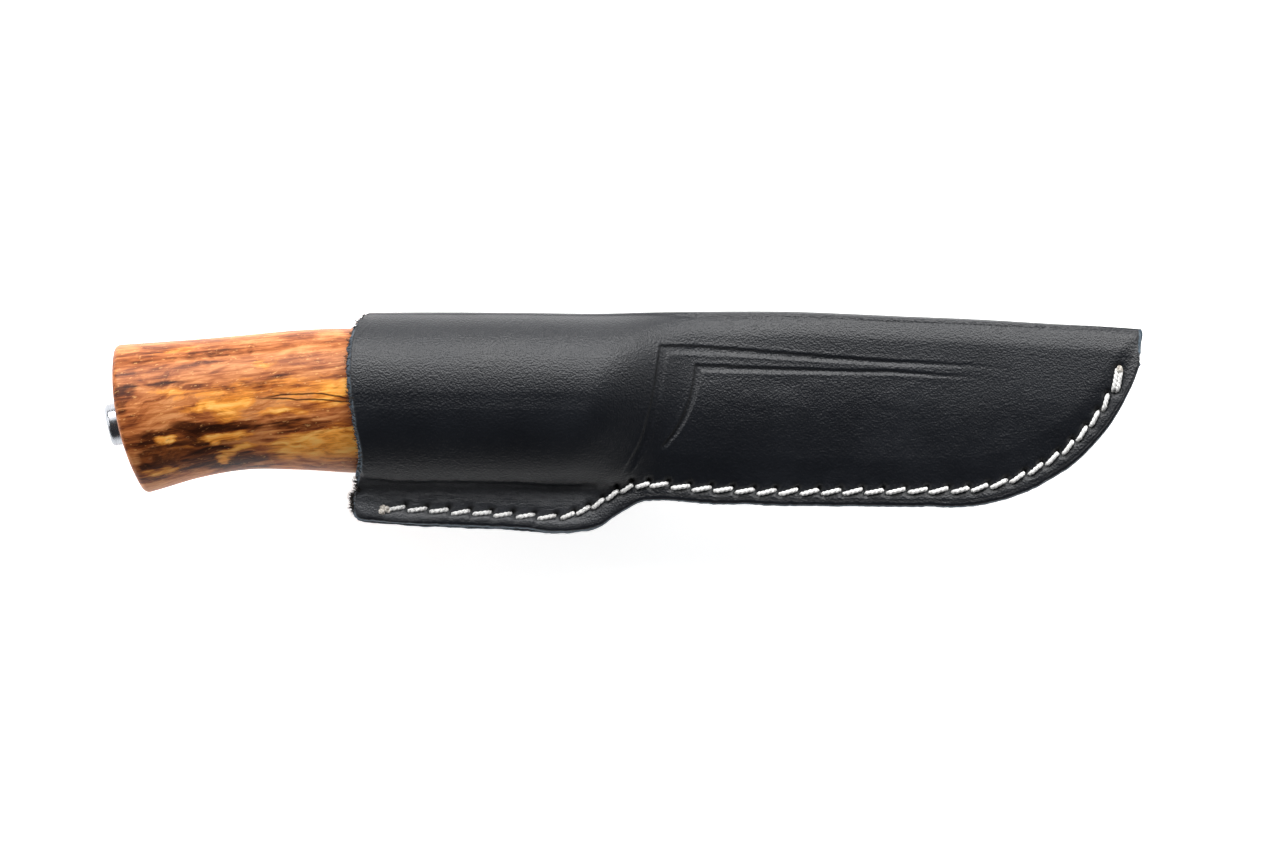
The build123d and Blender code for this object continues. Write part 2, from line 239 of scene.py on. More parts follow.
def slab(outer, inner, bulge, step=3, layers=(0.1, 0.32, 0.68, 0.9)):
    """A closed sheet between two grids, with rounded edges. The inner side keeps one point in step.

    Returns points, faces, and for each point how much it belongs to the cut edge and to the inner side.
    """
    rows, columns = outer.shape[:2]
    points = [outer.reshape(-1, 3)]
    faces = grid_faces(rows, columns)
    rim = rim_of(rows, columns)
    way_out, way_in = outward(outer), outward(inner)
    ri, rj = np.array(rim).T
    start = rows * columns
    last = ri * columns + rj
    cut = [np.zeros(start)]
    side = [np.zeros(start)]
    for t in layers:
        lift = (1 - abs(2 * t - 1) ** 2.6) * (bulge[ri, rj] if np.ndim(bulge) else bulge)
        way = way_out[ri, rj] * (1 - t) + way_in[ri, rj] * t
        points.append(outer[ri, rj] * (1 - t) + inner[ri, rj] * t + unit(way) * np.reshape(lift, (-1, 1)))
        now = start + np.arange(len(rim))
        for k in range(len(rim)):
            l = (k + 1) % len(rim)
            faces.append((int(last[l]), int(last[k]), int(now[k]), int(now[l])))
        last, start = now, start + len(rim)
        cut.append(np.ones(len(rim)))
        side.append(np.zeros(len(rim)))
    small = inner[::step, ::step]
    m, n = small.shape[:2]
    points.append(small.reshape(-1, 3))
    faces += [tuple(reversed(f)) for f in grid_faces(m, n, start=start)]
    coarse = rim_of(m, n)
    for k in range(len(coarse)):
        a, b = coarse[k], coarse[(k + 1) % len(coarse)]
        fine = [int(last[(k * step + d) % len(rim)]) for d in range(step + 1)]
        faces.append(tuple([start + a[0] * n + a[1], start + b[0] * n + b[1]] + fine[::-1]))
    cut.append(np.zeros(m * n))
    side.append(np.ones(m * n))
    return np.concatenate(points), faces, np.concatenate(cut), np.concatenate(side)


def tube(path, radius, sides):
    """Points and faces of a closed round tube along a path, with a radius for each of its points."""
    path = np.asarray(path, float)
    along = unit(np.gradient(path, axis=0))
    up = np.array((0.0, 0.0, 1.0))
    across = unit(np.cross(along, up) + 1e-9)
    normal = np.cross(across, along)
    turn = full_turn(sides)
    ring = across[:, None] * np.cos(turn)[None, :, None] + normal[:, None] * np.sin(turn)[None, :, None]
    points = (path[:, None] + ring * np.reshape(radius, (-1, 1, 1))).reshape(-1, 3)
    return points, ring_faces(len(path), sides, inside_out=True)


class Heap:
    """Meshes gathered into one."""

    def __init__(self):
        self.points, self.faces, self.picks, self.count = [], [], [], 0

    def add(self, points, faces, pick=0):
        self.points.append(np.asarray(points, float))
        self.faces += [tuple(self.count + int(i) for i in f) for f in faces]
        self.picks += [pick] * len(faces)
        self.count += len(points)

    def all_points(self):
        return np.concatenate(self.points)


# ---------------------------------------------------------------- materials
class Shader:
    """A short way to write a node material."""

    def __init__(self, name):
        self.material = bpy.data.materials.new(name)
        self.material.use_nodes = True
        self.tree = self.material.node_tree
        self.bsdf = self.tree.nodes["Principled BSDF"]

    def node(self, kind, inputs=None, **settings):
        made = self.tree.nodes.new(kind)
        for key, value in settings.items():
            setattr(made, key, value)
        for key, value in (inputs or {}).items():
            self.put(made.inputs[key], value)
        return made

    def put(self, socket, value):
        """Joins a socket to another one, or sets its value."""
        if isinstance(value, bpy.types.NodeSocket):
            self.tree.links.new(value, socket)
        else:
            socket.default_value = value

    def place(self, stretch=(1, 1, 1), turn=(0, 0, 0)):
        """Object coordinates for a pattern that is turned, and stretched along its own axes."""
        where = self.node("ShaderNodeTexCoord").outputs["Object"]
        angles = [math.radians(a) for a in turn]
        return self.node("ShaderNodeMapping", {"Vector": where, "Scale": stretch, "Rotation": angles},
                         vector_type="TEXTURE").outputs["Vector"]

    def noise(self, where, scale, detail=4.0, rough=0.55, distortion=0.0):
        inputs = {"Vector": where, "Scale": scale, "Detail": detail, "Roughness": rough,
                  "Distortion": distortion}
        return self.node("ShaderNodeTexNoise", inputs).outputs["Fac"]

    def cells(self, where, scale, smooth):
        inputs = {"Vector": where, "Scale": scale, "Smoothness": smooth}
        return self.node("ShaderNodeTexVoronoi", inputs, feature="SMOOTH_F1").outputs["Distance"]

    def math(self, operation, a, b=0.0, c=0.0, clamp=False):
        made = self.node("ShaderNodeMath", operation=operation, use_clamp=clamp)
        for socket, value in zip(made.inputs, (a, b, c)):
            self.put(socket, value)
        return made.outputs[0]

    def add(self, *terms):
        whole = terms[0]
        for term in terms[1:]:
            whole = self.math("ADD", whole, term)
        return whole

    def times(self, value, weight):
        return self.math("MULTIPLY", value, weight)

    def swing(self, noise, weight):
        """A noise moved to lie about 0, times a weight."""
        return self.times(self.math("SUBTRACT", noise, 0.5), weight)

    def ramp(self, value, *stops):
        """stops are (place, colour or grey level)."""
        made = self.node("ShaderNodeValToRGB")
        self.put(made.inputs["Fac"], value)
        keys = made.color_ramp.elements
        while len(keys) < len(stops):
            keys.new(0.5)
        for key, (place, colour) in zip(keys, stops):
            key.position = place
            key.color = (*colour, 1) if hasattr(colour, "__len__") else (colour, colour, colour, 1)
        return made.outputs["Color"]

    def mix(self, share, a, b):
        made = self.node("ShaderNodeMix", data_type="RGBA")
        self.put(made.inputs["Factor"], share)
        for socket, value in ((made.inputs[6], a), (made.inputs[7], b)):
            value = (*value, 1) if isinstance(value, tuple) and len(value) == 3 else value
            self.put(socket, value)
        return made.outputs[2]

    def attribute(self, name):
        return self.node("ShaderNodeAttribute", attribute_name=name).outputs["Fac"]

    def bump(self, height, strength, distance, under=None):
        """A normal bent by height, whose full swing is distance in millimetres."""
        inputs = {"Strength": strength, "Distance": distance * MM, "Height": height}
        if under is not None:
            inputs["Normal"] = under
        return self.node("ShaderNodeBump", inputs).outputs["Normal"]

    def finish(self, colour=None, roughness=None, normal=None, **fixed):
        for key, value in (("Base Color", colour), ("Roughness", roughness), ("Normal", normal)):
            if value is not None:
                self.put(self.bsdf.inputs[key], value)
        for key, value in fixed.items():
            self.bsdf.inputs[key.replace("_", " ")].default_value = value
        return self.material


def leather_material():
    """Dyed and waxed black leather: pebbled grain, blue-grey on the cut edges."""
    s = Shader("black_leather")
    where = s.place()
    pores = s.cells(where, 2500, 0.35)
    grain = s.noise(where, 1700, 3, 0.6)
    cloudy = s.noise(where, 55, 4, 0.55)
    wrinkle = s.noise(s.place((1.5, 0.8, 1.0), (0, 0, 14)), 420, 3, 0.5)
    colour = s.ramp(cloudy, (0.30, (0.0034, 0.0044, 0.0070)), (0.72, (0.0066, 0.0082, 0.0118)))
    # lighter flange: partly worn dye, partly painted light where the pouch's wall shades the flange
    colour = s.mix(s.attribute("scuff_and_painted_light"), colour, (0.058, 0.061, 0.068))
    # painted shade: near-black in the pressed lines, round the stitches and in the groove by the edge
    colour = s.mix(s.attribute("painted_crease_shade"), colour, (0.0008, 0.001, 0.0014))
    fibre = s.noise(s.place((1.0, 1.0, 0.3)), 900, 5, 0.7)
    edge = s.ramp(fibre, (0.35, (0.010, 0.018, 0.027)), (0.65, (0.110, 0.160, 0.205)))
    colour = s.mix(s.attribute("cut"), colour, edge)
    roughness = s.ramp(s.add(s.times(grain, 0.5), s.times(cloudy, 0.5)), (0.25, 0.31), (0.75, 0.43))
    roughness = s.math("ADD", roughness, s.times(s.attribute("painted_crease_shade"), 0.45), clamp=True)
    roughness = s.math("ADD", roughness, s.times(s.attribute("cut"), 0.35), clamp=True)
    height = s.add(s.times(pores, 1.1), s.times(grain, 0.9), s.times(wrinkle, 0.2))
    normal = s.bump(height, 0.8, 0.095)
    folds = s.noise(s.place((3.6, 0.75, 1.0), (0, 0, -5)), 1000, 3, 0.6, 0.6)
    normal = s.bump(s.times(folds, s.attribute("wrinkle")), 0.8, 0.55, normal)
    return s.finish(colour, roughness, normal, Specular_IOR_Level=0.45)


def suede_material():
    """The flesh side inside the sheath and under the belt loop."""
    s = Shader("leather_flesh_side")
    where = s.place()
    nap = s.noise(where, 1100, 6, 0.7)
    colour = s.ramp(nap, (0.3, (0.016, 0.014, 0.013)), (0.7, (0.052, 0.045, 0.040)))
    normal = s.bump(s.noise(where, 1900, 5, 0.75), 0.7, 0.12)
    return s.finish(colour, s.ramp(nap, (0.2, 0.8), (0.8, 0.96)), normal, Specular_IOR_Level=0.2)


def thread_material():
    """Waxed white polyester, with fine filaments and a little dirt."""
    s = Shader("white_thread")
    where = s.place()
    strands = s.noise(s.place((3.0, 1.0, 1.0), (0, 0, 35)), 2600, 3, 0.6)
    dirt = s.noise(where, 240, 3, 0.6)
    colour = s.ramp(strands, (0.25, (0.70, 0.69, 0.67)), (0.6, (0.95, 0.945, 0.93)))
    colour = s.mix(s.ramp(dirt, (0.35, 0.2), (0.5, 0.0)), colour, (0.52, 0.50, 0.47))
    return s.finish(colour, s.ramp(strands, (0.2, 0.5), (0.8, 0.72)), s.bump(strands, 0.5, 0.05),
                    Sheen_Weight=0.25)


def singed_material():
    """Thread ends melted to beige blobs with soot on them."""
    s = Shader("melted_thread")
    where = s.place()
    soot = s.noise(where, 1300, 4, 0.65)
    colour = s.ramp(soot, (0.36, (0.14, 0.115, 0.095)), (0.46, (0.52, 0.47, 0.41)),
                    (0.62, (0.80, 0.77, 0.71)))
    roughness = s.ramp(soot, (0.3, 0.5), (0.7, 0.3))
    return s.finish(colour, roughness, s.bump(s.noise(where, 1500, 4, 0.6), 0.8, 0.25))


def wood_material():
    """Oiled curly birch: orange streaks, dark heartwood, golden patches and two black spalt lines."""
    s = Shader("curly_birch")
    where = s.place()
    bend = s.math("SUBTRACT", s.noise(where, 48, 3, 0.5), 0.5)
    spread = s.node("ShaderNodeCombineXYZ", {"Y": s.times(bend, 14 * MM), "Z": s.times(bend, 9 * MM)})
    inputs = {0: s.place((4.5, 1.0, 1.0), (0, 0, 7)), 1: spread.outputs[0]}
    flow = s.node("ShaderNodeVectorMath", inputs, operation="ADD").outputs[0]
    band = s.noise(flow, 270, 4, 0.6, 0.5)
    streak = s.noise(s.place((13.0, 1.0, 1.0), (0, 0, 7)), 1050, 4, 0.65, 0.15)
    curl = s.noise(flow, 620, 4, 0.6, 0.9)
    gold, dark = s.attribute("gold"), s.attribute("dark")
    level = s.add(s.times(band, 0.42), s.times(streak, 0.40), s.times(curl, 0.18))
    base = s.ramp(level, (0.40, (0.120, 0.029, 0.010)), (0.465, (0.31, 0.086, 0.024)),
                  (0.525, (0.50, 0.168, 0.052)), (0.61, (0.70, 0.315, 0.118)))
    shade = s.add(dark, s.swing(band, -1.3), s.swing(streak, -0.8))
    heart = s.ramp(s.add(s.times(streak, 0.5), s.times(curl, 0.5)),
                   (0.40, (0.020, 0.0048, 0.0018)), (0.50, (0.070, 0.0165, 0.0045)),
                   (0.61, (0.24, 0.062, 0.014)))
    colour = s.mix(s.ramp(shade, (0.26, 0.0), (0.66, 0.96)), base, heart)
    edge = s.add(gold, s.swing(curl, 0.9), s.swing(streak, 0.7))
    halo = s.ramp(edge, (0.22, 0.0), (0.42, 0.85))
    rust = s.ramp(s.add(s.times(streak, 0.5), s.times(band, 0.5)),
                  (0.40, (0.34, 0.080, 0.012)), (0.56, (0.82, 0.30, 0.050)))
    colour = s.mix(halo, colour, rust)
    outline = s.ramp(edge, (0.22, 0.0), (0.34, 0.55), (0.44, 0.0))
    colour = s.mix(s.times(outline, s.ramp(dark, (0.2, 0.0), (0.5, 1.0))), colour, (0.10, 0.022, 0.005))
    yellow = s.ramp(s.add(s.times(streak, 0.55), s.times(curl, 0.45)),
                    (0.40, (0.60, 0.185, 0.026)), (0.49, (0.95, 0.385, 0.062)), (0.60, (1.0, 0.58, 0.16)))
    colour = s.mix(s.ramp(edge, (0.46, 0.0), (0.72, 0.95)), colour, yellow)
    flecks = s.noise(s.place((3.0, 1.0, 1.0), (0, 0, 9)), 2300, 2, 0.6)
    fleck_tone = s.mix(dark, (0.84, 0.45, 0.15), (0.40, 0.17, 0.07))
    colour = s.mix(s.ramp(flecks, (0.63, 0.0), (0.70, 0.55)), colour, fleck_tone)
    xyz = s.node("ShaderNodeSeparateXYZ", {0: where})
    waver = s.swing(s.noise(where, 120, 3, 0.5), 2.4 * MM)
    parting = s.times(s.math("SINE", s.math("MULTIPLY_ADD", xyz.outputs["X"], 135.6, 10.41)), 0.75 * MM)
    front = s.math("GREATER_THAN", xyz.outputs["Z"], MID_Z * MM)
    start = s.ramp(s.math("MULTIPLY_ADD", xyz.outputs["X"], 100.0, 8.1), (0.3, 0.0), (0.75, 1.0))
    for side in (-0.3, 1.3):
        straight = s.math("MULTIPLY_ADD", xyz.outputs["X"], -0.03, 3.35 * MM)
        line = s.add(straight, waver, s.times(parting, side))
        away = s.math("ABSOLUTE", s.math("SUBTRACT", xyz.outputs["Y"], line))
        ink = s.ramp(s.math("DIVIDE", away, 0.6 * MM), (0.14, 0.9), (0.36, 0.0))
        colour = s.mix(s.times(s.times(ink, start), front), colour, (0.020, 0.008, 0.004))
    roughness = s.ramp(band, (0.3, 0.32), (0.7, 0.42))
    normal = s.bump(s.add(streak, s.times(curl, 0.6)), 0.20, 0.05)
    return s.finish(colour, roughness, normal, Coat_Weight=0.06, Coat_Roughness=0.16,
                    Specular_IOR_Level=0.17)


def turned_steel_material():
    """Polished nut and washer: faint rings from the lathe and a few smudges."""
    s = Shader("polished_steel")
    rings = s.noise(s.place((1.0, 50, 50), (0, 0, 12)), 5200, 2, 0.5)
    smudge = s.noise(s.place(), 320, 4, 0.6)
    colour = s.ramp(smudge, (0.3, (0.33, 0.345, 0.37)), (0.7, (0.44, 0.455, 0.485)))
    wear = s.math("MULTIPLY_ADD", rings, 0.5, s.times(smudge, 0.5))
    roughness = s.ramp(wear, (0.3, 0.18), (0.7, 0.34))
    return s.finish(colour, roughness, s.bump(rings, 0.12, 0.02), Metallic=1.0)


def blade_material():
    """Blade steel: satin flats and a slightly brighter ground bevel."""
    s = Shader("blade_steel")
    where = s.place()
    brushed = s.noise(s.place((1.0, 30, 1.0)), 3200, 3, 0.6)
    cloud = s.noise(where, 120, 4, 0.6)
    geometry = s.node("ShaderNodeNewGeometry")
    axis = s.node("ShaderNodeSeparateXYZ", {0: geometry.outputs["True Normal"]})
    flat = s.math("ABSOLUTE", axis.outputs["Z"])
    bevel = s.ramp(flat, (0.9885, 1.0), (0.9975, 0.0))
    colour = s.ramp(cloud, (0.3, (0.21, 0.215, 0.225)), (0.7, (0.26, 0.265, 0.275)))
    colour = s.mix(bevel, colour, (0.29, 0.295, 0.31))
    roughness = s.add(s.times(brushed, 0.10), s.math("MULTIPLY_ADD", bevel, -0.06, 0.56))
    return s.finish(colour, roughness, s.bump(brushed, 0.18, 0.02), Metallic=1.0)


def stud_material():
    """Threaded stud: dark rolled thread."""
    s = Shader("stud_steel")
    inputs = {"Vector": s.place((1, 1, 1), (0, 0, 12)), "Scale": 315, "Distortion": 0.0}
    thread = s.node("ShaderNodeTexWave", inputs, wave_type="BANDS", bands_direction="X")
    grime = s.noise(s.place(), 700, 5, 0.6)
    colour = s.ramp(grime, (0.3, (0.26, 0.26, 0.27)), (0.7, (0.44, 0.44, 0.45)))
    roughness = s.ramp(grime, (0.2, 0.3), (0.8, 0.5))
    return s.finish(colour, roughness, s.bump(thread.outputs["Fac"], 0.8, 0.3), Metallic=1.0)


def nickel_material():
    """Nickel-plated rivets, a little scratched."""
    s = Shader("nickel")
    scratches = s.noise(s.place((12, 1.0, 1.0), (0, 0, 28)), 2600, 4, 0.7)
    tarnish = s.noise(s.place(), 420, 5, 0.6)
    colour = s.ramp(tarnish, (0.3, (0.48, 0.45, 0.40)), (0.7, (0.68, 0.65, 0.60)))
    roughness = s.ramp(scratches, (0.3, 0.16), (0.7, 0.38))
    return s.finish(colour, roughness, s.bump(scratches, 0.2, 0.02), Metallic=1.0)


BLACK = leather_material()
SUEDE = suede_material()
WHITE = thread_material()
SINGED = singed_material()
BIRCH = wood_material()
TURNED = turned_steel_material()
STEEL = blade_material()
STUD = stud_material()
NICKEL = nickel_material()


# ---------------------------------------------------------------- the sheath's form
def half_thickness(x, y):
    """Half the sheath's outside thickness, from the blade's plane to the front face."""
    top = through(FOLD, x)
    fold_radius = 5.6
    rim = np.clip((y - (top - fold_radius)) / fold_radius, 0, 1)
    flat = FACE_HALF * np.sqrt(np.clip(1 - rim**2, 0, 1))
    crown = bell(y - 2.0, 9.0) * (0.35 + 0.55 * (1 - ease(x, 5, 95)))
    flat = flat + np.minimum(crown, flat)
    lean = (y - POUCH_Y) * 0.28
    bulge = 1 - (1 - BULGE_TAIL) * ease(x, BULGE_START + lean, BULGE_END + lean)
    bulge = bulge - BULGE_TAIL * ease(x, 0, BULGE_TAIL_END)
    up = (y - POUCH_Y) / np.where(y > POUCH_Y, top - POUCH_Y, POUCH_Y - POUCH_LOW)
    oval = POUCH_HALF * np.sqrt(np.clip(1 - up**2, 0, 1))
    power = 4.0
    full = (oval**power + flat**power) ** (1 / power)
    return np.minimum(flat + (full - flat) * bulge, POUCH_HALF)


def outline_points(share, back=False):
    """Fold and flange ends of the columns at these shares of the way from mouth to tip."""
    s1 = np.clip(share / STRAIGHT_SHARE, 0, 1)
    s2 = np.clip((share - STRAIGHT_SHARE) / (1 - STRAIGHT_SHARE), 0, 1)
    top_x = MOUTH_X + (BELLY_CENTRE[0] - MOUTH_X) * s1 + (TIP_X - EDGE_ROUND - BELLY_CENTRE[0]) * s2
    low_x = MOUTH_X + (BELLY_CENTRE[0] - MOUTH_X) * s1
    low_y = through(FLANGE, low_x)
    radius = BELLY_RADIUS - EDGE_ROUND
    end = math.asin((TIP_CORNER[1] - BELLY_CENTRE[1]) / BELLY_RADIUS)
    angle = -math.pi / 2 + (end + math.pi / 2) * s2
    on_arc = s2 > 0
    low_x = np.where(on_arc, BELLY_CENTRE[0] + radius * np.cos(angle), low_x)
    low_y = np.where(on_arc, BELLY_CENTRE[1] + radius * np.sin(angle), low_y + EDGE_ROUND)
    if not back:
        low_y = low_y + 0.75 * (1 - ease(low_x, -12, 2)) + 0.12 * wander(low_x, 0, 5, 1)
        low_y = low_y + 0.07 * wander(low_x, 3, 0.9, 2, 2)
    corner = np.clip(1 - (low_x - MOUTH_X) / CORNER_ROUND, 0, 1)
    low_y = low_y + CORNER_ROUND * (1 - np.sqrt(1 - corner**2))
    top_y = through(FOLD, top_x)
    return np.stack([top_x, top_y], -1), np.stack([low_x, low_y], -1)


def panel(share, count, back=False):
    """Grid [across, along, xyz] of one face of the sheath, from the fold to the flange's edge."""
    top, low = outline_points(share, back)
    fine = np.linspace(0, 1, 700) ** 2
    made = np.zeros((count, len(share), 3))
    for j in range(len(share)):
        line = top[j] + (low[j] - top[j]) * fine[:, None]
        x, y = line[:, 0], line[:, 1]
        pull = 1 - ease(x, MOUTH_X, MOUTH_X + MOUTH_FADE)
        lip = 0.15 * wander(y, 3.0, 2.2, 2, 2) * (0.35 + 0.65 * (y < -12))
        x = x + (through(MOUTH, y) + 0.6 + lip - top[0][0]) * pull
        tip = ease(x, 96, 110)
        x = x + tip * 0.2 * wander(y, 8.0, 6, 3, 2)
        made[:, j] = evenly(np.stack([x, y, half_thickness(x, y)], -1), count)
    return made


def column_shares():
    """Columns from mouth to tip, closer together where the pressed lines are."""
    place = np.linspace(0, 1, 2001)
    by_the_lines = 0.7 * ease(place, 0.28, 0.34) * (1 - ease(place, 0.62, 0.70))
    density = 1.0 + by_the_lines + 0.5 * (1 - ease(place, 0.0, 0.03))
    total = np.concatenate([[0], np.cumsum((density[1:] + density[:-1]) / 2)])
    return np.interp(np.linspace(0, total[-1], 463), total, place)


# ---------------------------------------------------------------- seam, from the CAD stitches
def stitches_of(node):
    """Centre, direction and length of each stitch of a CAD thread, from the mouth to the tip."""
    made = bmesh.new()
    made.from_mesh(NODES[node].data)
    bmesh.ops.remove_doubles(made, verts=made.verts, dist=1e-7)
    made.verts.ensure_lookup_table()
    seen, found = set(), []
    for vert in made.verts:
        if vert.index in seen:
            continue
        island, stack = [], [vert]
        seen.add(vert.index)
        while stack:
            v = stack.pop()
            island.append(v.co / MM)
            for edge in v.link_edges:
                other = edge.other_vert(v)
                if other.index not in seen:
                    seen.add(other.index)
                    stack.append(other)
        p = np.array(island)
        centre = (p.min(0) + p.max(0)) / 2
        flat = p[:, :2] - centre[:2]
        vectors = np.linalg.eigh(flat.T @ flat)[1]
        way = vectors[:, -1] * (1 if vectors[0, -1] > 0 else -1)
        reach = flat @ way
        found.append((centre, way, reach.max() - reach.min()))
    made.free()
    return sorted(found, key=lambda item: item[0][0] + 0.3 * item[0][1])


FRONT_STITCHES = stitches_of("front_thread")
BACK_STITCHES = stitches_of("back_thread")


def seam_dents(x, y, stitches):
    """How far the thread has pulled the leather in, and the painted shade round each hole and its pulled
    fold.
    """
    depth, dark = np.zeros_like(x), np.zeros_like(x)
    for centre, way, length in stitches:
        near = (abs(x - centre[0]) < 5) & (abs(y - centre[1]) < 5)
        dx, dy = x[near] - centre[0], y[near] - centre[1]
        along = dx * way[0] + dy * way[1]
        across = -dx * way[1] + dy * way[0]
        reach = length / 2
        groove = 0.27 * bell(across, 0.75) * bell(np.maximum(abs(along) - reach + 0.4, 0), 0.7)
        trough = 0.16 * bell(across, 1.7) * bell(np.maximum(abs(along) - reach + 0.2, 0), 0.9)
        hole = bell(np.hypot(along - reach, across - 0.15), 0.62)
        hole = hole + 0.7 * bell(np.hypot(along + reach, across), 0.5)
        pull = bell(np.hypot((along - reach - 0.35) * 0.8, across - 0.55), 0.6)
        depth[near] = np.maximum(depth[near], groove + 0.85 * hole + 0.3 * pull) + trough
        # painted shade in each hole and in the pulled fold beside it
        dark[near] = np.maximum(dark[near], np.clip(hole + 0.7 * pull, 0, 1))
    return depth, dark


# ---------------------------------------------------------------- pressed lines on the front
OUTER_LINE = [(-0.6, -11.0), (1.2, -8.2), (3.2, -4.6), (5.0, 1.0), (6.6, 8.0), (7.2, 11.5), (7.95, 16.6),
              (15.5, 16.4), (21.6, 16.0), (31.4, 15.2), (44.7, 14.1), (58.5, 13.2), (66.4, 12.85),
              (74.4, 12.4), (84.6, 11.6)]
INNER_LINE = [(7.4, -5.7), (10.5, -1.9), (12.9, 2.6), (14.5, 8.0), (15.2, 12.5), (23.3, 12.1), (33.5, 11.7),
              (45.0, 11.35), (58.5, 11.0), (66.4, 10.4), (77.6, 9.95)]
OUTER_CORNER, INNER_CORNER = 6, 4    # which of the points is the line's corner


def resample(points, spacing=0.15):
    """Evenly spaced places along a line, and how far along it each is, from 0 to 1."""
    total = lengths_along(points)[-1]
    at = np.arange(0, total, spacing)
    return read_along(points, at), at / total


def smooth_limbs(points, corner):
    """A line through points with one sharp corner, and smooth on both sides of it."""
    limb, arm = np.array(points[:corner + 1]), np.array(points[corner:])
    y = np.linspace(limb[0][1], limb[-1][1], 60)
    x = np.linspace(arm[0][0], arm[-1][0], 120)
    first = np.stack([through([(b, a) for a, b in limb], y), y], -1)
    second = np.stack([x, through([tuple(a) for a in arm], x)], -1)
    return np.concatenate([first, second[1:]])


def pressed(x, y, points, corner, wide, fades):
    """Relief and painted shade of a pressed line: a sharp step on its outer side, a slope and a soft ridge.

    wide is its width at the start, at the corner and at the end. fades says where along it the line
    starts, is full, starts to fade and has gone.
    """
    path, place = resample(smooth_limbs(points, corner))
    corner_at = place[np.argmin(np.linalg.norm(path - np.array(points[corner]), axis=1))]
    reach = 4
    low, high = path.min(0) - reach, path.max(0) + reach
    near = (x > low[0]) & (x < high[0]) & (y > low[1]) & (y < high[1])
    qx, qy = x[near], y[near]
    best = np.full(qx.shape, 1e9)
    which = np.zeros(qx.shape, int)
    for k, (px, py) in enumerate(path):
        d = (qx - px) ** 2 + (qy - py) ** 2
        closer = d < best
        best[closer], which[closer] = d[closer], k
    tangent = unit(np.gradient(path, axis=0))
    dx, dy = qx - path[which, 0], qy - path[which, 1]
    inside = dx * tangent[which, 1] - dy * tangent[which, 0]
    distance = np.sign(inside) * np.sqrt(best)
    at = place[which]
    start, grow, shrink, end = fades
    strength = ease(at, start, grow) * (1 - ease(at, shrink, end))
    width = np.where(at < corner_at, wide[0] + (wide[1] - wide[0]) * at / corner_at,
                     wide[1] + (wide[2] - wide[1]) * ((at - corner_at) / (1 - corner_at)) ** 0.6)
    strength = strength * (1 + 0.35 * (1 - ease(at, corner_at - 0.04, corner_at)))
    step = ease(distance, -0.20, 0.12)
    floor = 0.26 - 0.05 * np.clip(distance / width, 0, 1)
    rise = 1 - ease(distance, width - 0.45, width + 0.15)
    ridge = 0.05 * bell(distance - width - 0.1, 0.45)
    limb = ease(at, 0.0, 0.05)
    depth, dark = np.zeros_like(x), np.zeros_like(x)
    lip = 0.05 * bell(distance + 0.45, 0.35)
    depth[near] = (lip - floor * step * rise) * strength + ridge * limb * (1 - ease(at, shrink, end))
    # painted shade along the step, stronger at the corner and weaker along the arm
    dark[near] = bell(distance, 0.17) * strength * (1 - 0.55 * ease(at, corner_at + 0.05, corner_at + 0.4))
    return depth, dark


def wrinkles(x, from_edge):
    """Where the leather is gathered between the seam and the foot of the pouch."""
    return ease(from_edge, 3.0, 5.4) * (1 - ease(from_edge, 8.0, 10.5)) * (1 - ease(x, -14, -2))


def scuffs_and_painted_light(x, from_edge):
    """Where the flange under the pouch is painted lighter: partly dye worn off, somewhat more outside the
    seam, and painted light along the foot of the pouch, where the wall shades the flange.
    """
    flange = ease(from_edge, 0.5, 1.5) * (1 - ease(from_edge, 7.9, 9.6)) * (1 - ease(x, -12, 2))
    # the bell at the foot of the pouch is painted light against the wall's shade
    return flange * (0.5 + 0.5 * bell(from_edge - 7.6, 1.3) + 0.1 * (1 - ease(from_edge, 3.5, 5.5)))


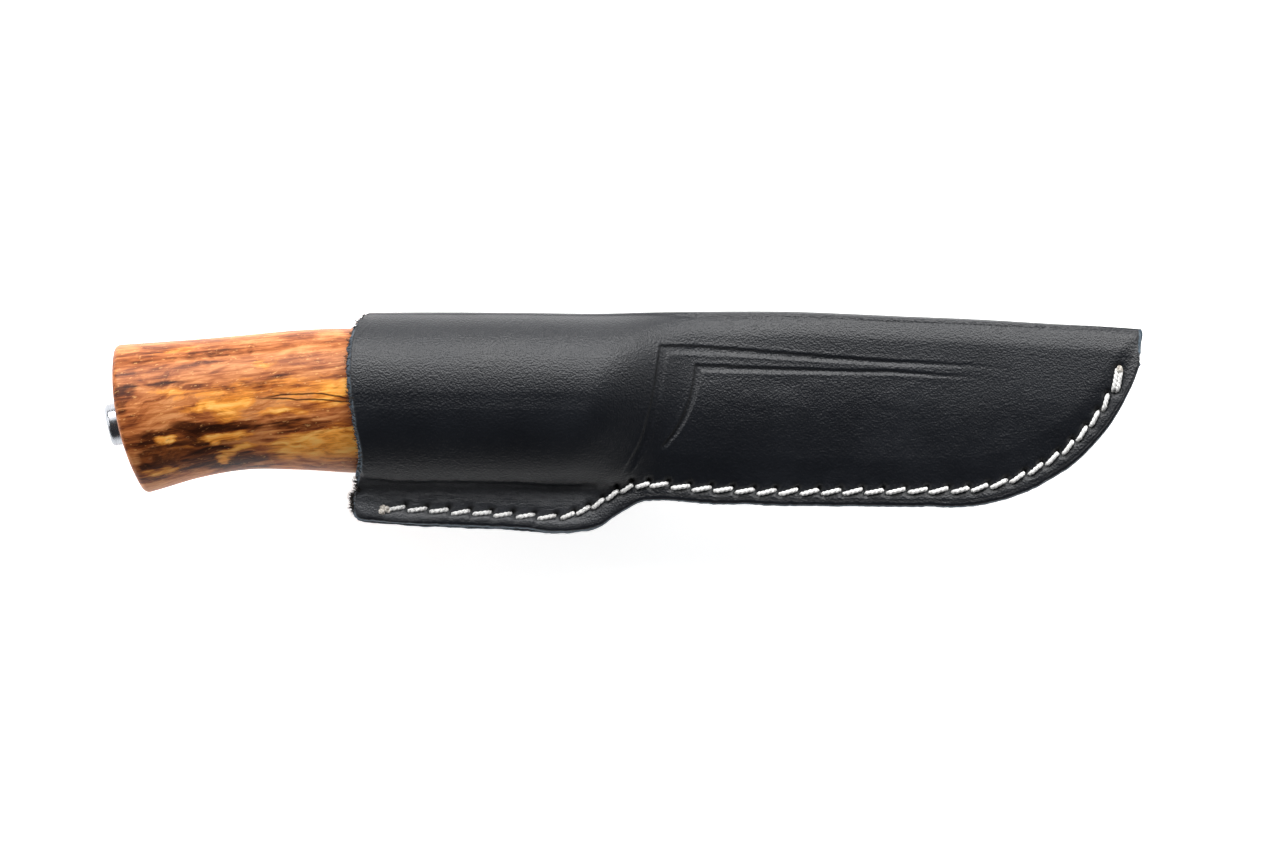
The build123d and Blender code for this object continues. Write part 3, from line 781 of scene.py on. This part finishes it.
def front_relief(x, y, from_edge, upright):
    """Everything that is pressed, pulled or worn into the front panel, and the painted shade in its pressed
    lines, round its stitches and in the groove by its edge.
    """
    relief, dark = np.zeros_like(x), np.zeros_like(x)
    for points, corner, wide, fades in (
        (OUTER_LINE, OUTER_CORNER, (1.3, 1.95, 0.75), (0.0, 0.05, 0.70, 1.0)),
        (INNER_LINE, INNER_CORNER, (0.8, 1.55, 0.6), (0.0, 0.03, 0.78, 1.0)),
    ):
        d, k = pressed(x, y, points, corner, wide, fades)
        relief, dark = relief + d, np.maximum(dark, k * 0.8)
    sunk, hole_shade = seam_dents(x, y, FRONT_STITCHES)
    relief, dark = relief - sunk, np.maximum(dark, hole_shade)
    wrinkled = wrinkles(x, from_edge)
    gathers = wander(x * 0.7, y * 2.4, 1.7, 0) - bell(from_edge - 6.6, 0.4)
    relief += wrinkled * 0.06 * gathers
    pulls = ease(from_edge, 3.5, 5) * (1 - ease(from_edge, 6, 9)) * ease(x, 4, 12)
    relief += pulls * 0.035 * wander(x * 1.2, y, 3.0, 3)
    blade_side = ease(x, 12, 26) * (1 - ease(x, 84, 98)) * ease(y, -12, -7) * (1 - ease(y, 8, 10.5))
    relief += blade_side * (0.028 * wander(x, y, 2.6, 1) + 0.08 * wander(x, y, 9, 2, 2))
    relief += 0.14 * (wander(x, y, 22, 3, 2) - 0.9) * ease(from_edge, 3, 9)
    from_fold = through(FOLD, x) - y
    relief = relief - 0.0051 * np.clip(19.5 - from_fold, 0, 19.5) ** 2 * ease(x, -12, 10) * upright**2
    under_pouch = 1 - ease(x, -12, 0)
    dish = 3.8 + 3.2 * under_pouch
    sinking = np.clip(from_edge - 0.7, 0, dish)
    sinking = sinking * (1 - ease(from_edge, dish + 0.7, dish + 6.5 - 2.5 * under_pouch))
    relief = relief - (0.12 + 0.04 * under_pouch) * sinking - 0.20 * (1 - ease(from_edge, 0, 0.7))
    relief += 0.50 * under_pouch * (1 - ease(from_edge, 5.5, 9.5))
    relief = relief - 0.14 * bell(from_edge - 0.85, 0.20)
    near_edge = 1 - ease(from_edge, 2.4, 3.4)
    relief += near_edge * 0.04 * wander(x * 0.8, y * 1.6, 2.0, 1)
    # painted shade: a dark line in the groove near the edge
    return relief, np.maximum(dark, 0.6 * bell(from_edge - 0.95, 0.16))


# ---------------------------------------------------------------- the sheath
def normals_of(grid):
    """Unit normals of a grid, pointing out of the sheath."""
    n = np.cross(np.gradient(grid, axis=0), np.gradient(grid, axis=1))
    return unit(n)


def build_sheath():
    """One folded sheet of leather. Returns the grids of its grain side and of its inner side."""
    share = column_shares()
    rows_front, rows_back = 142, 80
    front = panel(share, rows_front)
    back = panel(share, rows_back, back=True)
    front[..., 2] += MID_Z
    back[..., 2] = MID_Z - back[..., 2]
    base = np.concatenate([front[::-1], back[1:]], axis=0)
    normals = normals_of(base)
    if normals[rows_front // 2, 60, 2] < 0:
        normals = -normals
    steps = np.linalg.norm(np.diff(base, axis=0), axis=2)
    edge_front = np.concatenate([np.zeros((1, len(share))), np.cumsum(steps, axis=0)])
    edge_back = np.concatenate([np.cumsum(steps[::-1], axis=0)[::-1], np.zeros((1, len(share)))])
    x, y = base[..., 0], base[..., 1]
    relief, dark = np.zeros_like(x), np.zeros_like(x)
    f = slice(0, rows_front - 8)
    relief[f], dark[f] = front_relief(x[f], y[f], edge_front[f], abs(normals[f][..., 2]))
    b = slice(rows_front + 8, None)
    # the second value is painted shade round the back stitches
    sunk, hole_shade = seam_dents(x[b], y[b], BACK_STITCHES)
    relief[b] = -sunk + 0.12 * wander(x[b], y[b], 16, 2) * ease(edge_back[b], 3, 9)
    relief[b] -= 0.22 * bell(edge_back[b] - 0.95, 0.22) + 0.25 * (1 - ease(edge_back[b], 0, 0.7))
    dark[b] = hole_shade
    relief -= 0.15 * (1 - ease(x, -57.5, -55.6))
    outer = base + normals * relief[..., None]
    inner = base - normals * LEATHER
    lip = 1 - ease(np.arange(len(share)), 0, 4)
    inner[..., 0] -= 0.75 * lip
    short = np.zeros_like(x)
    short[:rows_front] = 0.6 * ease(x[:rows_front], 108.2, 109.6) * ease(y[:rows_front], 13.0, 16.0)
    outer[..., 0] -= short
    rows = base.shape[0]
    keep = rows - (rows - 1) % 3
    outer, inner, dark = outer[:keep], inner[:keep], dark[:keep]
    rough = EDGE_ROUND * np.ones(outer.shape[:2])
    rough[:, 0] *= 1 + 0.5 * RNG.standard_normal(keep)
    points, faces, cut, inside = slab(outer, inner, np.clip(rough, 0.1, 0.9))
    # painted shade for the leather: pressed lines, stitches and the groove by the edge
    painted_crease_shade = np.zeros(len(points))
    painted_crease_shade[:dark.size] = dark.ravel()
    on_front = (np.arange(rows) < rows_front)[:, None]
    wrinkle, scuff_and_painted_light = np.zeros(len(points)), np.zeros(len(points))
    wrinkle[:dark.size] = (wrinkles(x, edge_front) * on_front)[:keep].ravel()
    scuff_and_painted_light[:dark.size] = (scuffs_and_painted_light(x, edge_front) * on_front)[:keep].ravel()
    picks = [1 if inside[list(f)].min() > 0.5 else 0 for f in faces]
    make_object("sheath_leather", points, faces, [BLACK, SUEDE], "sheath", ["sheath_body"],
                {"painted_crease_shade": painted_crease_shade, "cut": cut, "wrinkle": wrinkle, "scuff_and_painted_light": scuff_and_painted_light}, picks)
    return outer, inner


OUTER, INNER = build_sheath()


# ---------------------------------------------------------------- welt
def build_welt():
    """The strip between the two edges, a little short of them all round."""
    share = np.linspace(0.004, 0.996, 265)
    _, low = outline_points(share, back=True)
    x = low[:, 0]
    s2 = np.clip((share - STRAIGHT_SHARE) / (1 - STRAIGHT_SHARE), 0, 1)
    turn = s2 * 1.20
    depth = BELLY_CENTRE[1] + 9.0
    top_x = np.where(s2 > 0, BELLY_CENTRE[0] + depth * np.sin(turn), x)
    top_y = np.where(s2 > 0, BELLY_CENTRE[1] - depth * np.cos(turn), -13.2 + 4.2 * ease(x, -7, 5))
    rows = 16
    across = np.linspace(0, 1, rows)[:, None]
    gx = top_x * (1 - across) + low[:, 0] * across
    gy = top_y * (1 - across) + (low[:, 1] + 0.25 + 0.12 * wander(x, 0, 2.5, 1)) * across
    pull = 1 - ease(gx, MOUTH_X, -40)
    gx = gx + pull * (through(MOUTH, gy) + 0.9 - gx[:, :1])
    face = np.full(gx.shape, WELT_HALF)
    upper = np.stack([gx, gy, MID_Z + face], -1)
    lower = np.stack([gx, gy, MID_Z - face], -1)
    points, faces, cut, _ = slab(upper, lower, 0.3 + 0.1 * wander(gx, gy, 1.5, 0), step=1)
    make_object("welt_strip", points, faces, [BLACK], "sheath", ["welt"],
                {"cut": cut})


build_welt()


# ---------------------------------------------------------------- thread
def twisted(heap, path, ply=0.36, offset=0.17, pitch=1.9, phase=0.0):
    """Two plies twisted round a path."""
    path = np.asarray(path, float)
    length = lengths_along(path)
    along = unit(np.gradient(path, axis=0))
    across = unit(np.cross(along, np.array((0.0, 0.0, 1.0))))
    normal = np.cross(across, along)
    for half in (0, math.pi):
        turn = 2 * math.pi * length / pitch + phase + half
        centre = path + offset * (across * np.cos(turn)[:, None] + normal * np.sin(turn)[:, None])
        heap.add(*tube(centre, np.full(len(path), ply), sides=7))


def stitch_path(centre, way, length, out, sideways=0.0, lift=0.0):
    """A stitch lies on the face, and its two ends go down into the leather."""
    t = np.linspace(-1, 1, 21)
    along = t * length / 2
    height = (lift - 0.02) - 0.18 * abs(t) ** 2 - 1.15 * ease(abs(t), 0.66, 1.04)
    slack = sideways + 0.05 * np.sin(t * 2.0)
    x = centre[0] + way[0] * along - way[1] * slack
    y = centre[1] + way[1] * along + way[0] * slack
    return np.stack([x, y, MID_Z + out * (FACE_HALF + height)], -1)


def blob(heap, centre, size, seed, pick):
    """A small melted end of thread."""
    rows, columns = 17, 24
    u = np.linspace(0.02, math.pi - 0.02, rows)[:, None]
    v = full_turn(columns)[None, :]
    way = np.stack([np.sin(u) * np.cos(v), np.sin(u) * np.sin(v), np.cos(u) + 0 * v], -1)
    swell = 1 + 0.22 * wander(way[..., 0] * 2 + seed, way[..., 1] * 2 + way[..., 2], 0.8, 2, 2)
    points = (np.array(centre) + way * np.array(size) * swell[..., None]).reshape(-1, 3)
    heap.add(points, ring_faces(rows, columns, inside_out=True), pick)


def build_thread(name, node, stitches, out):
    """A row of stitches, with melted ends at its tip and its start. out is 1 in front and -1 behind."""
    heap = Heap()
    for centre, way, length in stitches[:-1]:
        jitter = RNG.normal(0, 0.05, 3)
        turned = unit(way + np.array((-way[1], way[0])) * RNG.normal(0, 0.03))
        spot = centre[:2] + jitter[:2]
        path = stitch_path(spot, turned, length * RNG.normal(0.91, 0.015), out)
        twisted(heap, path, phase=RNG.uniform(0, 6.28))
    tip, way, length = stitches[-1]
    for sideways, lift in ((-0.42, 0.05), (0.42, 0.12)):
        twisted(heap, stitch_path(tip, way, length * 0.95, out, sideways, lift), phase=RNG.uniform(0, 6.28))
    end = tip[:2] + way * length * 0.5
    blob(heap, (end[0], end[1], MID_Z + out * (FACE_HALF + 0.1)), (0.65, 0.8, 0.5), 8.0, 1)
    first, way, length = stitches[0]
    start = first[:2] - way * length * 0.6
    blobs = ((-0.35, -0.30, 0.85), (0.45, 0.15, 0.80), (-0.20, 0.50, 0.65), (0.95, -0.35, 0.45))
    for dx, dy, size in blobs:
        spot = (start[0] + dx, start[1] + dy, MID_Z + out * (FACE_HALF + 0.1))
        blob(heap, spot, (size, size * 0.9, size * 0.75), 3.0 + size, 1)
    make_object(name, heap.all_points(), heap.faces, [WHITE, SINGED], "sheath",
                [node], picks=heap.picks)


build_thread("front_stitches", "front_thread", FRONT_STITCHES, 1)
build_thread("back_stitches", "back_thread", BACK_STITCHES, -1)


# ---------------------------------------------------------------- loose fibres on the mouth's cut
FIBRES = 420
FIBRES_END = -59.4                   # no fibre reaches further out of the mouth


def build_fibres():
    """Short hairs on the cut, most of them by the flange."""
    heap = Heap()
    rim_out, rim_in = OUTER[:, 0], INNER[:, 0]
    front = np.nonzero(rim_out[:, 2] > MID_Z + 2)[0]
    weight = 1 + 5.0 * (rim_out[front, 1] < -13)
    for _ in range(FIBRES):
        i = int(RNG.choice(front, p=weight / weight.sum()))
        t = RNG.uniform(0.0, 0.6)
        root = rim_out[i] * (1 - t) + rim_in[i] * t
        size = RNG.uniform(0.6, 1.4)
        way = unit(np.array((-1.0, RNG.normal(0, 0.6), RNG.normal(0.1, 0.35))))
        curl = np.array((0.0, RNG.normal(0, 0.5), RNG.normal(0, 0.4)))
        s = np.linspace(-0.4, 1, 6)[:, None]
        path = root + way * s * size + curl * size * 0.4 * np.maximum(s, 0) ** 2
        path[:, 0] = np.maximum(path[:, 0], FIBRES_END)
        path[:, 2] = np.minimum(path[:, 2], SHEATH_HIGH[2] - 0.12)
        heap.add(*tube(path, np.linspace(0.11, 0.03, 6), sides=4))
    make_object("mouth_fibres", heap.all_points(), heap.faces, [SUEDE], "sheath")


build_fibres()


# ---------------------------------------------------------------- belt loop and rivets
def build_strap():
    """One strap bent into a flat loop; its inner run follows the back of the pouch."""
    left, right, high = LOOP_LOW[0], LOOP_HIGH[0], LOOP_HIGH[2]
    r = STRAP_CORNER
    arc = np.linspace(0, math.pi / 2, 12)
    start, end = STRAP_GAP_X + STRAP_GAP / 2, STRAP_GAP_X - STRAP_GAP / 2
    line = [(start, high)]
    line += [(right - r + r * math.sin(a), high - r + r * math.cos(a)) for a in arc]
    line += [(right - r + r * math.cos(a), r - r * math.sin(a)) for a in arc]
    line += [(left + r - r * math.sin(a), r - r * math.cos(a)) for a in arc]
    line += [(left + r - r * math.cos(a), high - r + r * math.sin(a)) for a in arc]
    line += [(end, high)]
    path = evenly(np.array(line), 220)
    tangent = unit(np.gradient(path, axis=0))
    normal = np.stack([-tangent[:, 1], tangent[:, 0]], -1)
    rows = 31
    y = np.linspace(LOOP_LOW[1] + 0.4, LOOP_HIGH[1] - 0.4, rows)[:, None] + 0 * path[:, 0]
    x, z = path[:, 0] + 0 * y, path[:, 1] + 0 * y
    pouch = MID_Z - half_thickness(x, y)
    top = high - np.log1p(np.exp(np.clip((high - pouch) * 4, -30, 30))) / 4
    shift = ease(z, 3.5, high - 0.5) * (top - high)
    waver = 0.12 * wander(x, y, 14, 1, 2) * (1 - ease(z, 1.0, 4.0)) - 0.13
    outer = np.stack([x, y, np.maximum(z + shift - np.minimum(waver, 0) * (z < 2), 0.02)], -1)
    inner = np.stack([x - normal[:, 0] * STRAP, y, z - normal[:, 1] * STRAP + shift], -1)
    edge = np.minimum(y - LOOP_LOW[1], LOOP_HIGH[1] - y)
    outer[..., 2] += 0.12 * bell(edge - 1.9, 0.25) * (z < 1.0)
    points, faces, cut, inside = slab(inner, outer, 0.4, step=1)
    make_object("belt_strap", points, faces, [BLACK], "sheath", ["belt_loop"],
                {"cut": cut * 0.45})


build_strap()


def revolve(profile, centre, sides=48):
    """Points and faces of a closed shape turned about an upright axis. profile is (height, radius)."""
    turn = full_turn(sides)
    ring = np.stack([-np.sin(turn), np.cos(turn), 0 * turn], -1)
    points = [np.array(centre) + (0, 0, height) + ring * radius for height, radius in profile]
    return np.concatenate(points), ring_faces(len(profile), sides, inside_out=True)


# a cap's brim and a head's dome, as (height, radius)
CAP = [(-0.55, 0.25), (-0.62, 0.7), (-0.60, 1.3), (-0.50, 2.3), (-0.32, 3.2), (-0.12, 3.75), (0.10, 3.97),
       (0.35, 4.0), (0.55, 3.8), (0.6, 1.8), (0.6, 0.2)]
HEAD = [(0.30, 0.2), (0.32, 0.9), (0.27, 2.0), (0.14, 3.0), (-0.02, 3.5), (-0.25, 3.6), (-0.6, 3.3),
        (-0.7, 1.6)]
CAP_LIFT = 4.5                       # the caps lie this far above the strap's outer run


def build_rivets():
    """Two rivets: a cap inside the belt loop, a post, and a head inside the pouch."""
    caps, heads = Heap(), Heap()
    middle_y = (CAP_LOW[1] + CAP_HIGH[1]) / 2
    radius = (CAP_HIGH[1] - CAP_LOW[1]) / 2
    under = LOOP_LOW[2] + STRAP + CAP_LIFT
    inside = MID_Z - POUCH_HALF + LEATHER
    for x in (CAP_LOW[0] + radius, CAP_HIGH[0] - radius):
        caps.add(*revolve(CAP, (x, middle_y, under)))
        post_end = under + 0.5 - inside
        heads.add(*revolve(HEAD + [(post_end, 1.6), (post_end, 0.2)], (x, middle_y, inside)))
    for name, heap, node in (("rivet_cap_pair", caps, "rivet_caps"),
                             ("rivet_post_pair", heads, "rivet_posts")):
        make_object(name, heap.all_points(), heap.faces, [NICKEL], "sheath", [node])


build_rivets()


# ---------------------------------------------------------------- handle
BUTT_RADIUS = 62.0                   # the butt is a shallow arc in plan ...
BUTT_CENTRE = np.array((-46.05, 13.0))    # ... about this place
BUTT_ROUND = 1.3                     # rounding of the butt's rim
BUTT_GUESS = -107.0                  # about where the butt is, to start the search for a ring
FRONT_X = -2.0                       # the handle's front end, where it crosses the pouch's middle ...
FRONT_SLANT = math.radians(12)       # ... and how far that end leans
FRONT_ROUND = 2.4
NUT_CENTRE = (NUT_LOW + NUT_HIGH) / 2
BORE_RADIUS = 4.85                   # counterbore that holds the nut
BORE_DEPTH = 7.0                     # its floor, from the nut's middle
SIDE = np.array((AXIS[1], -AXIS[0], 0.0))      # square to the stud, in plan
UP = np.array((0.0, 0.0, 1.0))


def probe_handle():
    """Top, bottom and half width of the CAD handle along its length."""
    mesh = NODES["handle"].data
    tree = BVHTree.FromPolygons([v.co for v in mesh.vertices], [p.vertices for p in mesh.polygons])
    rows = []
    for x in (-100.5, -98.5, -90, -80, -69, -57, -46, -35, -25, -15, -7):
        top = tree.ray_cast(Vector((x, 80, MID_Z)) * MM, Vector((0, -1, 0)))[0]
        low = tree.ray_cast(Vector((x, -80, MID_Z)) * MM, Vector((0, 1, 0)))[0]
        middle = (top.y + low.y) / 2
        side = tree.ray_cast(Vector((x * MM, middle, 0.1)), Vector((0, 0, -1)))[0]
        rows.append((x, top.y / MM, low.y / MM, side.z / MM - MID_Z))
    rows = np.array(rows)
    before = rows[0] + (rows[0] - rows[1]) / 2 * 11.5
    after = rows[-1] + (rows[-1] - rows[-2]) / 8 * 12
    return np.concatenate([[before], rows, [after]])


HANDLE = probe_handle()


def handle_section(x):
    """Middle height, half height and half thickness of the handle."""
    top, low, half = (through(HANDLE[:, (0, k)], x) for k in (1, 2, 3))
    return (top + low) / 2, (top - low) / 2, half


def butt_x(y):
    return BUTT_CENTRE[0] - np.sqrt(BUTT_RADIUS**2 - (y - BUTT_CENTRE[1]) ** 2)


def front_x(y):
    return FRONT_X + (y - POUCH_Y) * math.tan(FRONT_SLANT)


# golden and dark patches of the wood: x, y, half length, half height, strength
GOLD = [(-82.1, 4.6, 3.2, 1.2, 1.2), (-88.8, 3.2, 3.4, 0.8, 0.95), (-84.3, 1.6, 3.4, 1.4, 0.75),
        (-85.0, -3.2, 5.6, 1.0, 1.2), (-96.8, -3.0, 2.0, 0.9, 1.1), (-83.6, -6.9, 2.2, 1.1, 0.9),
        (-79.5, -5.1, 2.8, 0.8, 0.9), (-64.6, -4.7, 8.0, 2.6, 1.3), (-57.0, -3.5, 4.0, 3.6, 0.9),
        (-98.8, -10.4, 4.2, 1.4, 0.75), (-59.8, 6.9, 4.2, 2.8, 0.7), (-75.7, 12.8, 3.6, 1.0, 0.55),
        (-95.0, 15.5, 5.0, 0.8, 0.5), (-72.0, 2.4, 7.0, 0.9, 0.6), (-96.0, 6.6, 5.0, 0.9, 0.5),
        (-68.0, 7.5, 13, 3.0, 0.38), (-86.0, 6.4, 10, 2.4, 0.32)]
DARK = [(-92.0, -1.6, 10.5, 2.0, 0.95), (-92.0, -6.2, 10.5, 3.4, 1.0), (-70.0, -0.4, 9, 1.7, 0.6),
        (-105.0, 7.6, 1.8, 1.1, 0.7), (-106.4, 3.0, 1.2, 2.0, 0.5), (-99.5, -8.6, 4.0, 3.0, 0.8),
        (-80.0, -8.0, 8, 1.6, 0.8), (-63.1, -6.2, 2.4, 0.9, 1.0), (-95.0, 8.6, 8, 1.0, 0.5),
        (-75.0, 8.6, 10, 0.8, 0.5), (-88.0, 14.3, 12, 0.8, 0.45), (-66.0, 3.9, 7, 0.6, 0.3)]


def patches(x, y, spots):
    """Sum of soft spots over the wood, with wavering edges."""
    total = np.zeros_like(x)
    bent_x = x + 1.5 * wander(x, y, 5, 1)
    bent_y = y + 0.7 * wander(x, y, 4, 2) - 0.10 * (x + 80)
    for px, py, long, high, strength in spots:
        u = (bent_x - px) / long
        v = (bent_y - py + 0.10 * (px + 80)) / high
        total += strength * np.exp(-u**2 - v**2)
    return np.clip(total, 0, 1.4)


def build_handle():
    """Rings from the counterbore's floor, over the butt and along the wood, to the front end."""
    around = 144
    turn = full_turn(around)
    cos, sin = np.cos(turn), np.sin(turn)
    rings = []

    def oval(x_of_y, inset, guess):
        """A ring round the wood, as far along as x_of_y says for each height."""
        x = np.full(around, float(guess))
        for _ in range(4):
            middle, high, half = handle_section(x)
            y = middle + (high - inset) * cos
            x = x_of_y(y)
        middle, high, half = handle_section(x)
        return np.stack([x, middle + (high - inset) * cos, MID_Z + (half - inset) * sin], -1)

    def bore_ring(radius, distance):
        return NUT_CENTRE + AXIS * distance + radius * (np.outer(cos, SIDE) + np.outer(sin, UP))

    for radius, distance in ((0.3, -BORE_DEPTH), (1.8, -BORE_DEPTH), (BORE_RADIUS - 0.3, -BORE_DEPTH),
                             (BORE_RADIUS, 0.3 - BORE_DEPTH), (BORE_RADIUS, -3.0), (BORE_RADIUS, 0.5)):
        rings.append(bore_ring(radius, distance))
    for radius, sunk in ((BORE_RADIUS, 0.5), (BORE_RADIUS + 0.06, 0.22), (BORE_RADIUS + 0.28, 0.05)):
        ring = bore_ring(radius, 0.0)
        for _ in range(3):               # carried along the axis until it lies in the butt
            ring = ring + np.outer((butt_x(ring[:, 1]) + sunk - ring[:, 0]) / AXIS[0], AXIS)
        rings.append(ring)
    mouth = rings[-1]
    rim = oval(butt_x, BUTT_ROUND, BUTT_GUESS)
    for t in np.linspace(0, 1, 12)[1:-1]:
        ring = mouth * (1 - t) + rim * t
        ring[:, 0] = butt_x(ring[:, 1])
        rings.append(ring)
    for angle in np.linspace(0, math.pi / 2, 7):
        inset, depth = BUTT_ROUND * (1 - math.sin(angle)), BUTT_ROUND * (1 - math.cos(angle))
        rings.append(oval(lambda y: butt_x(y) + depth, inset, BUTT_GUESS))
    for t in np.linspace(0, 1, 230)[1:-1]:
        def along(y, t=t):
            begin, stop = butt_x(y) + BUTT_ROUND, front_x(y) - FRONT_ROUND
            return begin + (stop - begin) * t
        rings.append(oval(along, 0.0, BUTT_GUESS + 103 * t))
    for angle in np.linspace(0, math.pi / 2, 7):
        inset, depth = FRONT_ROUND * (1 - math.cos(angle)), FRONT_ROUND * (1 - math.sin(angle))
        rings.append(oval(lambda y: front_x(y) - depth, inset, -3))
    last = rings[-1]
    centre = last.mean(0)
    for t in (0.75, 0.5, 0.25, 0.06):
        ring = centre + (last - centre) * t
        ring[:, 0] = front_x(ring[:, 1])
        rings.append(ring)
    points = np.concatenate(rings)
    faces = ring_faces(len(rings), around)
    x, y, z = points.T
    skewed = y + np.where(z > MID_Z, 0.0, 7.5)
    gold = patches(x, skewed, GOLD)
    dark = patches(x, skewed, DARK)
    make_object("wood_handle", points, faces, [BIRCH], "knife", ["handle"],
                {"gold": gold, "dark": dark})


build_handle()


# ---------------------------------------------------------------- end nut
def build_nut():
    """A turned cap nut with a rounded rim, a hex socket outside and a plain bore inside."""
    half, radius, bore, across = 6.0, 4.55, 3.06, 5.0
    sides = 96
    turn = full_turn(sides)
    bend = np.mod(turn, math.pi / 3) - math.pi / 6
    hexagon = across / 2 / np.cos(bend)

    def ring(distance, size):
        size = np.broadcast_to(size, turn.shape)
        flat = np.outer(size * np.cos(turn), SIDE) + np.outer(size * np.sin(turn), UP)
        return NUT_CENTRE + AXIS * distance + flat

    rings = [ring(0.6, 0.05), ring(0.6, bore - 0.4), ring(0.4, bore), ring(-half + 0.3, bore),
             ring(-half, bore + 0.3), ring(-half, radius - 0.35), ring(-half + 0.1, radius - 0.1),
             ring(-half + 0.35, radius)]
    rings += [ring(d, radius) for d in (-3.0, 0.0, 3.0)]
    for angle in np.linspace(0, math.pi / 2, 8):
        rings.append(ring(half - 1.0 + math.sin(angle), radius - 1.0 + math.cos(angle)))
    rings += [ring(half, 3.35), ring(half - 0.03, hexagon + 0.22), ring(half - 0.22, hexagon)]
    rings += [ring(half - 1.8, hexagon), ring(half - 3.5, hexagon), ring(half - 3.6, hexagon - 0.12)]
    rings += [ring(half - 3.9, hexagon * 0.4), ring(half - 4.1, 0.05)]
    faces = ring_faces(len(rings), sides)
    make_object("cap_nut", np.concatenate(rings), faces, [TURNED], "nut",
                ["end_nut"])


build_nut()


# ---------------------------------------------------------------- view, light and floor
LIT_PLACE = (0, 0, 0.02)             # what every softbox points at, in metres


def make_camera():
    data = bpy.data.cameras.new("camera")
    data.lens = 220
    data.sensor_width = 36
    data.clip_start, data.clip_end = 0.01, 20
    camera = in_scene("camera", data)
    camera.location = (3.4 * MM, -0.64 * MM, (MID_Z + 1658.6) * MM)
    bpy.context.scene.camera = camera


def softbox(name, place, size, watts):
    """A rectangular soft light, in metres and watts."""
    data = bpy.data.lights.new(name, "AREA")
    data.shape = "RECTANGLE"
    data.size, data.size_y = size
    data.energy = watts
    light = in_scene(name, data)
    light.location = place
    light.rotation_mode = "QUATERNION"
    light.rotation_quaternion = (Vector(LIT_PLACE) - light.location).to_track_quat("-Z", "Y")


def make_stage():
    """A white floor under the part, a weak sky and five softboxes."""
    s = Shader("pale_floor")
    tone = s.noise(s.place(), 6, 3, 0.5)
    colour = s.ramp(tone, (0.3, 0.90), (0.7, 0.93))
    roughness = s.ramp(tone, (0.3, 0.85), (0.7, 0.9))
    s.finish(colour, roughness, Specular_IOR_Level=0.1, Emission_Color=(1, 1, 1, 1),
             Emission_Strength=0.85)
    size = 3.0                           # half the floor's width, in metres
    mesh = bpy.data.meshes.new("floor")
    corners = [(-size, -size, 0), (size, -size, 0), (size, size, 0), (-size, size, 0)]
    mesh.from_pydata(corners, [], [(0, 1, 2, 3)])
    mesh.materials.append(s.material)
    floor = in_scene("floor", mesh)
    floor.location.z = -0.0002
    world = bpy.data.worlds.new("studio")
    bpy.context.scene.world = world
    world.use_nodes = True
    sky = world.node_tree.nodes["Background"]
    sky.inputs["Color"].default_value = (0.92, 0.95, 1.0, 1)
    sky.inputs["Strength"].default_value = 0.06
    softbox("softbox_fold_side", (0.0, 0.68, 0.44), (1.4, 0.36), 12.0)
    softbox("softbox_above", (0.0, 0.50, 0.74), (1.4, 0.36), 3.3)
    softbox("softbox_edge_side", (0.1, -0.85, 0.13), (1.2, 0.20), 0.75)
    softbox("softbox_butt_side", (-0.85, 0.1, 0.35), (0.5, 0.5), 2.0)
    softbox("softbox_tip_side", (0.85, 0.3, 0.40), (0.5, 0.5), 1.3)
    bpy.context.scene.view_settings.view_transform = "Standard"


# ---------------------------------------------------------------- carried-over CAD nodes
for node, material in (("blade", STEEL), ("tang_stud", STUD), ("end_washer", TURNED)):
    NODES[node].data.materials.clear()
    NODES[node].data.materials.append(material)

make_camera()
make_stage()
